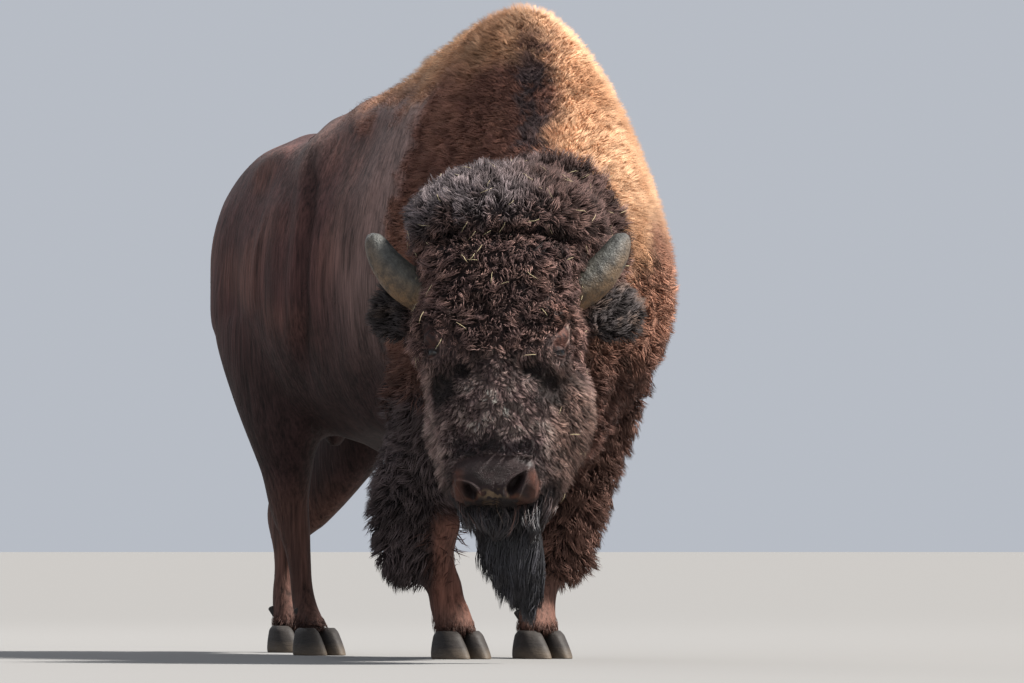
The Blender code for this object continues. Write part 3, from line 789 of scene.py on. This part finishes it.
def leather_tone(points, h, pad, lids, lid_rim_highlight):
    """The bare leather: nose pad and lips, and the lids away from them, with painted shade in the nostrils,
    the mouth, round each eye's slit and on the right lid, and a painted highlight on the rim of the left
    lid's fold.
    """
    x, _, z = h.T
    aside = abs(x)
    tone = shades((46, 33, 33), (84, 52, 42), ease(0.070, 0.098, aside))
    tone = dimmed(tone, 0.35 * ease(-0.3, 0.6, swirl(points, 0.035, 26)))
    mud = bell(x, -0.005, 0.046) * ease(0.576, 0.588, z) * ease(-0.3, 0.4, swirl(points, 0.014, 8))
    tone = painted(
        tone,
        ((96, 58, 42), ease(0.572, 0.590, z - 0.02 * aside / 0.1) * ease(0.02, 0.05, aside)),
        ((110, 92, 72), mud),
        ((48, 36, 36), ease(0.540, 0.520, z)),
        # painted shade inside the nostrils
        ((32, 24, 24), ease(1.25, 0.75, nostril(x, z))),
        # painted shade in the mouth line
        ((26, 19, 19), bell(z, MOUTH, 0.006)),
    )
    lid_tone = painted(
        shades((84, 53, 45), (44, 31, 30), ease(-0.5, 0.5, swirl(points, 0.018, 12))),
        # the right lid darker with painted shade, and the lids darker at the height of the eye
        ((38, 29, 29), np.maximum(ease(0.0, -0.05, x) * 0.6, 0.7 * bell(z, EYE_AT[2], 0.020))),
        # painted highlight on the rim of the left lid's fold
        ((176, 152, 142), 0.75 * lid_rim_highlight),
    )
    tone = blend(tone, lid_tone, lids * (1 - pad))
    for side in SIDES.values():
        nose, up, out = by_eye(points, side)
        slit = np.hypot(nose / 0.020, (up + 0.003 + 0.28 * nose) / 0.0062)
        # painted shade round the slit of each eye
        tone = painted(tone, ((20, 15, 16), bell(slit, 1.0, 0.35) * (out > 0)))
    return tone


def bare_lids(points):
    """1 on the hairless lids, and 1 on the rim of the left one's fold, where a highlight is painted."""
    lids, rim = np.zeros((2, len(points)))
    for side in SIDES.values():
        nose, up, out = by_eye(points, side)
        fold = heavy_lid(nose, up)
        lids = np.maximum(lids, ease(1.15, 0.85, fold) * (out > -0.05))
        lids = np.maximum(lids, ease(1.0, 0.8, np.hypot(nose / 0.024, (up + 0.002) / 0.017)) * (out > 0))
        if side > 0:
            # the rim that carries the painted highlight
            rim = bell(fold, 0.80, 0.12) * ease(0.004, 0.012, -nose) * ease(0.016, 0.03, up) * (out > -0.05)
    return lids, rim


def markings(points, part):
    """The coat's colour near its roots and at its tips, and how bare the skin is."""
    b, h = on_body(points), on_head(points)
    x, y, z = h.T
    patches, fine = swirl(points, 0.22, 5), swirl(points, 0.06, 6)
    long_wool, saddle = cape_share(points, b)
    cape = np.clip(np.clip(long_wool + 0.95 * saddle, 0, 1) + share_of(part, "neck"), 0, 1)
    ear_tips = shades((74, 68, 68), (104, 88, 80), ease(0.2, 0.9, fine))
    head = share_of(part, "head")
    roots, tips = flank_tones(b, patches)
    for share, (at_roots, at_tips) in (
        (cape * share_of(part, "trunk", "hump", "neck"), cape_tones(points, b, patches, fine)),
        (share_of(part, "foreleg"), chap_tones(b)),
        (share_of(part, "tail"), (colour(28, 22, 22), colour(40, 32, 31))),
        (share_of(part, "ear"), (colour(24, 20, 21), ear_tips)),
        (share_of(part, "beard"), (colour(26, 25, 28), colour(58, 57, 62))),
        (head, head_tones(h, patches, fine)),
    ):
        roots, tips = blend(roots, at_roots, share), blend(tips, at_tips, share)
    wing = 0.090 + 0.017 * bell(z, 0.562, 0.036)
    top = ease(0.490, 0.502, z - 0.3 * np.maximum(abs(x) - 0.055, 0))
    pad = head * ease(-0.01, 0.02, y) * top * ease(wing + 0.010, wing - 0.002, abs(x))
    lids, lid_rim_highlight = bare_lids(points)
    bare = np.clip(pad + lids * head, 0, 1)
    leather = leather_tone(points, h, pad, lids, lid_rim_highlight)
    return np.clip(blend(roots, leather, bare), 0, 1), np.clip(blend(tips, leather, bare), 0, 1), bare


def lie_of_coat(points, part):
    """Which way the hair runs, before it is laid along the skin."""
    x, _, z = on_head(points).T
    none = 0 * x
    dock = np.stack([none, ease(1.18, 1.28, on_body(points)[:, 2]), none - 0.5], axis=1)
    back_and_down, down = np.array((0.0, 0.45, -1.0)), np.array((0.0, 0.10, -1.0))
    lie = blend(back_and_down, down, share_of(part, "neck", "foreleg", "beard", "scrotum"))
    lie = blend(lie, dock, share_of(part, "tail"))
    lie = blend(lie, np.sign(x)[:, None] * LEFT + (0, 0, 0.15), share_of(part, "ear"))
    down_face = np.stack([1.6 * x, none - 0.1, 1.0 - 0.4 * bell(z, 0.2, 0.1)], axis=1)
    bonnet = np.stack([(x - 0.015) * 4.5, none - 0.3, (z + 0.10) * 6], axis=1)
    return blend(lie, blend(down_face, bonnet, ease(-0.10, -0.15, z)) @ HEAD, share_of(part, "head"))


# ---- Locks ----
PATCH = 0.003  # the side of a lock's place on the map
FLATTENED = 0.7  # how thick a lock is for its width
MOST_PULL = 0.94  # how near a lock's hairs can come to its middle one


class Skin:
    """The finished skin with all that a lock takes from its root's place.

    b and h are its points in the frames of the body and of the head."""

    def __init__(self):
        self.obj, self.points, self.part = skin()
        self.uv = unwrapped(self.obj)
        self.corners, self.loops = triangles_of(self.obj.data)
        self.normals = normals_of(self.points, self.corners)
        self.roots, self.tips, self.bare = markings(self.points, self.part)
        self.lie = lie_of_coat(self.points, self.part)
        a, b, c = (self.points[self.corners[:, i]] for i in range(3))
        self.area = np.linalg.norm(np.cross(b - a, c - a), axis=1) / 2
        self.b, self.h = on_body(self.points), on_head(self.points)

    def share(self, *names):
        return share_of(self.part, *names)


def coloured(mesh, shade):
    """Keeps the colour of every point on the mesh, for its finish."""
    shade = np.clip(shade, 0, 1).reshape(-1, 3)
    rgba = np.append(shade, np.ones((len(shade), 1)), axis=1).astype(np.float32)
    mesh.color_attributes.new("shade", "FLOAT_COLOR", "POINT").data.foreach_set("color", rgba.ravel())


def lock_faces(rings):
    """The triangles of one lock of three sides: the root's cap, the sides ring by ring, and the point."""
    faces = [(0, 1, 2)]
    for k in range(rings - 1):
        for j in range(3):
            a, b = 3 * k + j, 3 * k + (j + 1) % 3
            faces += [(a, a + 3, b + 3), (a, b + 3, b)]
    last = 3 * (rings - 1)
    return np.array(faces + [(last + j, last + 3, last + (j + 1) % 3) for j in range(3)])


def lock_mesh(name, points, faces, shade, uv):
    """All the locks of a piece as one mesh."""
    count, each = points.shape[:2]
    corners = (faces[None] + (np.arange(count) * each)[:, None, None]).ravel()
    mesh = bpy.data.meshes.new(name)
    mesh.vertices.add(count * each)
    mesh.vertices.foreach_set("co", points.astype(np.float32).ravel())
    mesh.loops.add(len(corners))
    mesh.loops.foreach_set("vertex_index", corners.astype(np.int32))
    mesh.polygons.add(len(corners) // 3)
    mesh.polygons.foreach_set("loop_start", np.arange(0, len(corners), 3, dtype=np.int32))
    mesh.update(calc_edges=True)
    coloured(mesh, shade)
    uv = np.clip(uv.reshape(-1, 2)[corners], 0, 1).astype(np.float32)
    mesh.uv_layers.new(name="OFBake").data.foreach_set("uv", uv.ravel())
    return mesh


def gathered(path, own, root, steps, locks, clump, uneven, chance):
    """The hairs drawn together into locks, and these into larger ones, each a little lighter or darker."""
    count = len(root)
    for size, share in ((locks, clump), (locks * 5, clump * 0.45)):
        heads = chance.choice(count, max(count // size, 1), replace=False)
        tree = KDTree(len(heads))
        for k, head in enumerate(heads):
            tree.insert(root[head], k)
        tree.balance()
        chief = heads[[tree.find(place)[1] for place in root]]
        pull = (share * steps**0.9)[None, :, None] * chance.uniform(0.7, 1.1, count)[:, None, None]
        path = path + (path[chief] - path) * np.clip(pull, 0, MOST_PULL)
        own = own * (1 + 0.14 * uneven * chance.normal(size=count)[chief])
    return path, np.clip(own, 0.3, 1.6)


def grow(hide, name, where, count, length, half, rise, finish, rings=2, lay=0.1, curl=0.0,
         turns=1.0, clump=0.6, locks=12, wander=0.3, droop=0.0, lift=-0.002, uneven=1.0, seed=1):
    """One piece of coat: tapered locks of hair rooted just under the skin, each a closed form of three sides.

    where is how thickly they stand, and half is half their width. They leave the skin at the angle rise and
    end at lay, in waves of the width curl, and wander away from the lie of the coat."""
    chance = np.random.default_rng(seed)
    reach = np.cumsum(hide.area * np.clip(where, 0, None)[hide.corners].mean(1))
    face = np.searchsorted(reach, (np.arange(count) + chance.random(count)) / count * reach[-1])
    face = np.minimum(face, len(reach) - 1)
    u, v = chance.random((2, count))
    u, v = np.where(u + v > 1, 1 - u, u), np.where(u + v > 1, 1 - v, v)
    parts = np.stack([1 - u - v, u, v], axis=1)

    def there(values):
        """The values at the roots of the locks, given for the skin's points or for all alike."""
        if np.ndim(values) == 0:
            return np.full(count, float(values))
        corners = np.asarray(values)[hide.corners[face]]
        return (corners * (parts if corners.ndim == 2 else parts[..., None])).sum(1)

    root, normal, lie = there(hide.points), unit(there(hide.normals)), there(hide.lie)
    lie = unit(lie - normal * (lie * normal).sum(1, keepdims=True) + 1e-6)
    angle = there(wander) * (0.9 * swirl(root, 0.07, seed + 1) + 0.7 * chance.normal(size=count))
    lie = lie * np.cos(angle)[:, None] + np.cross(normal, lie) * np.sin(angle)[:, None]
    side = np.cross(normal, lie)
    long = there(length) * chance.uniform(0.7, 1.15, count)
    rise = there(rise) * chance.uniform(0.75, 1.25, count)
    curl = there(curl) * chance.uniform(0.5, 1.3, count)
    steps = np.linspace(0, 1, rings + 1)
    start, spin = chance.random(count) * FULL_TURN, there(turns) * FULL_TURN * chance.uniform(0.7, 1.3, count)
    place = root + normal * there(lift)[:, None]
    path = [place]
    for before, now in zip(steps, steps[1:]):
        lean = rise + (lay - rise) * (now + before) / 2
        step = lie * np.cos(lean)[:, None] + normal * np.sin(lean)[:, None]
        step = unit(step - UP * np.reshape(there(droop) * now, (-1, 1)))
        place = place + step * (long / rings)[:, None]
        turn, wide = start + spin * now, curl * now**0.5
        wave = side * (wide * (np.cos(turn) - np.cos(start)))[:, None]
        path.append(place + wave + normal * (wide * (np.sin(turn) - np.sin(start)))[:, None])
    own = 1 + 0.12 * uneven * chance.normal(size=count)
    path, own = gathered(np.stack(path, axis=1), own, root, steps, locks, clump, uneven, chance)
    across = unit(np.cross(unit(np.gradient(path, axis=1)), normal[:, None, :]) + 1e-9)
    over = np.cross(across, unit(np.gradient(path, axis=1)))
    width = np.interp(steps, (0, 0.3, 0.7, 1), (0.75, 1, 0.72, 0.0))
    thick = (there(half) * chance.uniform(0.7, 1.25, count))[:, None, None] * width[:-1, None]
    ring = np.arange(3) * 2 * math.pi / 3 + math.pi / 2
    body = (
        path[:, :-1, None]
        + across[:, :-1, None] * (thick * np.cos(ring))[..., None]
        + over[:, :-1, None] * (thick * np.sin(ring) * FLATTENED)[..., None]
    ).reshape(count, rings * 3, 3)
    points = np.concatenate([body, path[:, -1:]], axis=1)
    up_lock = np.append(np.repeat(steps[:-1], 3), 1.0)
    shade = blend(there(hide.roots)[:, None], there(hide.tips)[:, None], np.tile(up_lock**0.8, (count, 1)))
    patch = np.stack([np.append(np.tile((0, 0.5, 1), rings), 0.5), up_lock], axis=1) * PATCH - PATCH / 2
    uv = (hide.uv[hide.loops[face]] * parts[..., None]).sum(1)[:, None] + patch
    mesh = lock_mesh(name, points, lock_faces(rings), shade * own[:, None, None], uv)
    return piece(name, mesh, finish)


def dress(hide):
    """The coat, piece by piece."""
    b, h = hide.b, hide.h
    x, y, z = h.T
    bx, by, bz = b.T
    head, beard = hide.share("head") * (1 - hide.bare), hide.share("beard")
    woolly = wool_finish("wool", 420)
    short = wool_finish("short hair", 500, 0.3, 0.6)
    long_hair = wool_finish("long hair", 300, 0.42, 0.48)
    away_from_eyes = near_eyes(hide.points)

    fold = bell(z, FOLD, 0.028) * ease(0.24, 0.16, abs(x)) * ease(0.0, 0.06, y)
    bonnet = head * ease(FOLD + 0.02, FOLD - 0.02, z)
    grow(hide, "wool_bonnet", bonnet, 17000, 0.047 * (1 - 0.55 * fold), 0.00145, 1.15, woolly, lay=0.75,
         curl=0.012, turns=1.1, clump=0.68, wander=1.1, uneven=2.3, seed=11)
    curly = head * ease(FOLD - 0.02, FOLD + 0.02, z) * ease(0.24, 0.20, z)
    knots = 1 + 0.22 * swirl(hide.points, 0.035, 27)
    length = 0.042 * knots * (1 - 0.45 * fold) * (0.3 + 0.7 * ease(0.05, 0.11, away_from_eyes))
    grow(hide, "wool_forehead", curly, 16000, length, 0.00145, 1.10, woolly, lay=0.6,
         curl=0.010, clump=0.72, locks=10, wander=1.0, uneven=2.4, seed=12)
    sparse = 1 - 0.72 * hollows(x, y, z)
    face = head * ease(0.20, 0.24, z) * ease(0.022, 0.030, away_from_eyes) * sparse
    length = np.interp(z, (0.2, 0.3, 0.42, 0.50, 0.53), (0.032, 0.028, 0.028, 0.028, 0.014))
    length = (length + 0.016 * ease(0.03, -0.05, y)) * (1 - 0.5 * hollows(x, y, z + 0.01))
    grow(hide, "hair_face", face, 45000, length, 0.00135, 1.0, short, rings=1, lay=0.6,
         curl=0.003, turns=0.8, clump=0.76, locks=13, wander=0.6, uneven=3.0, seed=13)
    length = np.interp(z, (0.50, 0.58, 0.66, 0.76), (0.10, 0.15, 0.13, 0.10))
    length = length * (1 - 0.35 * hide.share("head"))
    under_jaw = head * ease(0.50, 0.56, z) * ease(0.015, -0.02, y)
    grow(hide, "hair_beard", beard + 0.5 * under_jaw, 5000, length, 0.0019, 0.22, long_hair, rings=4,
         lay=0.04, curl=0.009, turns=1.1, clump=0.78, locks=14, wander=0.20, droop=0.9, uneven=2.2, seed=14)

    cheek = head * ease(0.08, 0.12, x) * ease(0.30, 0.45, z)
    caught = bonnet + 0.6 * curly + 0.5 * face * ease(0.30, 0.25, z) + 0.35 * cheek
    grow(hide, "straw_bits", caught, 120, 0.036, 0.0007, 0.12, straw_finish(), rings=3, lay=-0.05,
         curl=0.0018, clump=0.0, locks=1, wander=3.0, lift=0.030 * np.where(z < 0.2, 1, 0.6), seed=19)

    long_wool, saddle = cape_share(hide.points, b)
    trunk = hide.share("trunk", "hump")
    front, high = trunk * long_wool, ease(0.70, 0.80, bz)
    cape = front * high + hide.share("neck") * ease(0.96, 1.08, bz)
    behind = by - cape_edge(b)
    thin_out = ease(-0.03, 0.06, behind)
    length, flatter = 1 - 0.65 * thin_out, 0.5 * thin_out
    left = bx > -0.03
    grow(hide, "wool_hump_left", cape * left, 46000, 0.036 * length, 0.00125, 1.25 - flatter, woolly,
         rings=1, lay=0.95, curl=0.005, clump=0.50, locks=6, wander=1.0, uneven=0.8, seed=15)
    grow(hide, "wool_hump_right", cape * ~left, 34000, 0.038 * length, 0.00135, 1.20 - flatter, woolly,
         rings=1, lay=0.85, curl=0.005, clump=0.55, locks=7, wander=1.0, seed=16)
    neck = hide.share("neck") * ease(1.12, 1.0, bz) + front * (1 - high)
    grow(hide, "wool_neck", neck, 14000, 0.046, 0.0018, 1.15, woolly, lay=0.65,
         curl=0.011, turns=1.2, clump=0.76, locks=22, wander=1.0, droop=0.1, uneven=1.9, seed=17)
    fringe = trunk * (1 - long_wool) * saddle
    grow(hide, "wool_topline", fringe, 8000, 0.014 + 0.020 * saddle, 0.0012, 0.9, woolly,
         rings=1, lay=0.6, curl=0.004, clump=0.45, locks=8, wander=0.8, seed=18)

    for side, sign in SIDES.items():
        chap = hide.share(f"foreleg_{side}") * ease(0.19, 0.24, bz) * (1 - 0.93 * inner_shin(b))
        length = np.interp(bz, (0.18, 0.26, 0.40, 0.60), (0.040, 0.062, 0.062, 0.056))
        grow(hide, f"hair_chap_{side}", chap, 7500, length, 0.0018, 1.05, woolly, lay=0.65,
             curl=0.009, clump=0.70, wander=0.9, droop=0.1, uneven=1.4, seed=20 + sign)
    shin = hide.share("foreleg") * np.maximum(ease(0.25, 0.19, bz), inner_shin(b))
    grow(hide, "hair_forefoot", shin, 6000, 0.014, 0.0009, 0.25, short, rings=1,
         clump=0.35, locks=8, wander=0.2, uneven=0.5, seed=24)
    flank = trunk * ease(-0.03, 0.03, behind) * (1 - 0.7 * long_wool)
    grow(hide, "hair_flank", flank, 14000, 0.022, 0.0009, 0.16, short, rings=1, lay=0.06,
         clump=0.4, locks=8, wander=0.18, uneven=0.35, seed=31)
    feet = hide.share("foreleg", "hind") * ease(0.125, 0.085, bz)
    grow(hide, "hair_coronets", feet, 2600, 0.034, 0.0009, 0.75, short, lay=0.05,
         clump=0.45, locks=8, wander=0.2, droop=0.9, uneven=0.6, seed=25)
    grow(hide, "hair_hindlegs", hide.share("hind", "scrotum"), 10500, 0.020, 0.0009, 0.18, short,
         rings=1, lay=0.06, clump=0.4, locks=8, wander=0.2, uneven=0.35, seed=32)
    grow(hide, "wool_ears", hide.share("ear"), 4600, 0.042, 0.0014, 1.0, woolly, lay=0.6,
         curl=0.004, clump=0.66, locks=9, wander=0.7, uneven=1.6, seed=33)
    length = np.interp(bz, (0.6, 0.85, 0.95, 1.3), (0.13, 0.12, 0.03, 0.02))
    grow(hide, "hair_tail", hide.share("tail"), 2000, length, 0.0022, 0.15, long_hair,
         lay=0.02, wander=0.15, droop=0.8, seed=34)


# ---- Horns, hooves and eyes ----
HORN = [  # the middle line of the left horn in the head's frame, from root to tip, with its radius
    (0.085, -0.012, 0.034, 0.046), (0.110, -0.012, 0.030, 0.050), (0.180, -0.012, 0.018, 0.055),
    (0.240, -0.002, -0.014, 0.052), (0.284, 0.010, -0.060, 0.044), (0.310, 0.016, -0.106, 0.033),
    (0.319, 0.016, -0.128, 0.022), (0.321, 0.016, -0.137, 0.010),
]
HOOF = [  # height, and half the width and half the length as shares of the node's
    (0.0, 0.93, 0.97), (0.003, 0.99, 1.0), (0.014, 1.0, 0.99), (0.032, 0.95, 0.92), (0.050, 0.86, 0.83),
    (0.064, 0.76, 0.74), (0.074, 0.56, 0.56),
]


def horn(side):
    """A horn's sheath, slightly flattened and uneven, which keeps how far each point faces down."""
    rows = smooth_rows(HORN, 7)
    tangents = np.gradient(rows[:, :3], axis=0)
    wobble = 1 + 0.012 * np.random.default_rng(5).normal(size=len(rows))
    keyed = {tuple(row): (unit(tangent), w) for row, tangent, w in zip(rows, tangents, wobble)}

    def shape(row, angle):
        tangent, w = keyed[tuple(row)]
        front = unit(np.array((0, 1.0, 0)) - tangent * tangent[1])
        low = np.cross(tangent, front)
        ridge = 1 + 0.012 * math.sin(11 * angle + 1.3) + 0.008 * math.sin(23 * angle)
        out = (front * math.cos(angle) + low * math.sin(angle) * 0.94) * row[3] * w * ridge
        place = (row[:3] + out) * (SIDES[side], 1, 1)
        return from_head(place), max(0.0, math.sin(angle)) if low[2] > 0 else max(0.0, -math.sin(angle))

    return rounded(lofted(f"horn_sheath_{side}", rows, 40, shape))


def claw(node, name):
    """One half of a cloven hoof: a blunt toe in front, a steep heel, and a soft rim at the coronet."""
    low, high = (np.array(corner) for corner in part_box(node))
    centre, size = (low + high) / 2, high - low
    inward = -1 if "left_claw" in node else 1

    def shape(row, angle):
        up, wide, long = row
        c, s = math.cos(angle), math.sin(angle)
        toe = max(-s, 0)
        x = math.copysign(abs(c) ** 0.80, c) * size[0] / 2 * wide * (1 - 0.36 * toe**2.4)
        y = math.copysign(abs(s) ** 0.86, s) * size[1] / 2 * long + (0.18 + 0.30 * toe) * up
        return (centre[0] + x + inward * 0.10 * size[0] * toe**2, centre[1] + y, up), 0.0

    return rounded(lofted(name, smooth_rows(HOOF, 3), 28, shape))


def dewclaws(leg):
    """The two small claws behind a fetlock."""
    feet = [middle(f"{leg}_{half}_claw") for half in SIDES]
    centre = np.mean(feet, axis=0)
    behind = 0.080 if "fore" in leg else 0.070
    both = bmesh.new()
    for sign in (1, -1):
        bm = bmesh.new()
        bmesh.ops.create_cone(bm, segments=18, radius1=0.014, radius2=0.006, depth=0.028, cap_ends=True)
        rims = [edge for edge in bm.edges if edge.calc_face_angle(0) > 0.6]
        bmesh.ops.bevel(bm, geom=rims, offset=0.004, segments=3, profile=0.5, affect="EDGES", material=-1)
        place = Matrix.Translation((centre[0] + sign * 0.024, centre[1] + behind, 0.112))
        bmesh.ops.transform(bm, verts=bm.verts, matrix=place @ Matrix.Rotation(math.radians(152), 4, "X"))
        one = made(bm, "dewclaw")
        both.from_mesh(one)
        bpy.data.meshes.remove(one)
    return made(both, f"dewclaws_{leg}")


def eyeball(side):
    """An eye with the cornea's bulge, which keeps how far each point is from the middle of the pupil."""
    centre, axes = eye_axes(SIDES[side])
    bm = bmesh.new()
    bmesh.ops.create_uvsphere(bm, u_segments=48, v_segments=32, radius=EYE_RADIUS)
    iris = bm.verts.layers.float.new("iris")
    for vertex in bm.verts:
        angle = math.acos(max(-1, min(1, vertex.co.z / EYE_RADIUS)))
        vertex[iris] = min(1.0, angle / 0.95)
        bulge = 0.0012 * math.exp(-((angle / 0.5) ** 2))
        place = np.array(vertex.co) * (1 + bulge / EYE_RADIUS)
        vertex.co = Vector(place @ axes + centre)
    return made(bm, f"eyeball_{side}")


# ---- Studio ----
AZIMUTH, TILT = 33, 1.264  # degrees between the camera's line and the body's, and above the level
LENS, DISTANCE = 293.9, 22  # mm and m
LIT = HUMP_FOOT * (1, 1, 0) + (0, 0.1, 0.9)  # what the lamps look at


def slanted(degrees, level, upright):
    """The direction that many degrees from level towards upright."""
    return level * math.cos(math.radians(degrees)) + upright * math.sin(math.radians(degrees))


def placed(name, data, place, look):
    """A lamp or a camera at a place, turned to look in a direction."""
    obj = linked(name, data)
    obj.location = place
    obj.rotation_euler = Vector(look).to_track_quat("-Z", "Y").to_euler()
    return obj


def lamp(name, kind, offset, power, tint):
    light = bpy.data.lights.new(name, kind)
    light.energy, light.color = power, tint
    placed(name, light, LIT + offset, -offset)
    return light


def studio():
    """A wide pale floor, three lamps round the animal, a pale sky, and the camera in front of it."""
    bm = bmesh.new()
    bmesh.ops.create_circle(bm, cap_ends=True, segments=96, radius=90)
    pale = Finish("pale floor", Roughness=0.9, Specular_IOR_Level=0.1)
    pale.set("Base Color", (0.20, 0.197, 0.194, 1))
    ground = linked("floor", made(bm, "floor"))
    ground.data.materials.append(pale.material)

    away = slanted(AZIMUTH, np.array((0, 1.0, 0)), np.array((1.0, 0, 0)))
    right = np.array((away[1], -away[0], 0))
    camera = bpy.data.cameras.new("camera")
    camera.sensor_width, camera.lens, camera.clip_end = 36, LENS, 300
    place = HUMP_FOOT * (1, 1, 0) - right * 0.053 - away * DISTANCE + UP * 0.35
    bpy.context.scene.camera = placed("camera", camera, place, slanted(TILT, away, UP))

    lamp("key", "SUN", right * 0.85 - away * 0.15 + UP * 1.05, 10.5, (1, 0.96, 0.90)).angle = math.radians(7)
    lamp("fill", "AREA", right * -3.5 - away * 6.5 + UP * 2.0, 60, (0.92, 0.95, 1)).size = 5.0
    lamp("rim", "AREA", right * -3.0 + away * 5.0 + UP * 4.5, 120, (1, 1, 1)).size = 3.0
    world = bpy.data.worlds.new("studio")
    world.use_nodes = True
    sky = world.node_tree.nodes["Background"]
    sky.inputs[0].default_value = (0.79, 0.84, 0.93, 1)
    sky.inputs[1].default_value = 0.60
    bpy.context.scene.world = world
    bpy.context.scene.view_settings.view_transform = "Standard"


# ---- Making it ----
studio()
hide = Skin()
# the skin nearer the darker root colour where the coat over it is deep and on the head: painted shade under
# the hair
shown = np.clip(0.72 - 12 * coat_depth(hide.points, hide.part), 0, 1)
shown = shown * (1 - 0.8 * hide.share("head", "beard"))
coloured(hide.obj.data, blend(hide.roots, hide.tips, np.maximum(shown, hide.bare)))
wet = hide.bare * ease(0.7, 1.2, nostril(hide.h[:, 0], hide.h[:, 2])) * ease(0.40, 0.46, hide.h[:, 2])
for name, values in (("bare", hide.bare), ("wet", wet)):
    hide.obj.data.attributes.new(name, "FLOAT", "POINT").data.foreach_set("value", values.astype(np.float32))
piece("skin", hide.obj, hide_finish(), FLESH)
dress(hide)
horny, hoofy, glossy = horn_finish(), hoof_finish(), eye_finish()
for side in SIDES:
    piece(f"horn_sheath_{side}", horn(side), horny, [f"horn_{side}"])
    piece(f"eyeball_{side}", eyeball(side), glossy, [f"eye_{side}"])
    for leg in (f"fore_{side}", f"hind_{side}"):
        for half in SIDES:
            node = f"{leg}_{half}_claw"
            piece(f"{leg}_{half}_hoof", claw(node, f"{leg}_{half}_hoof"), hoofy, [node])
        piece(f"dewclaws_{leg}", dewclaws(leg), hoofy)
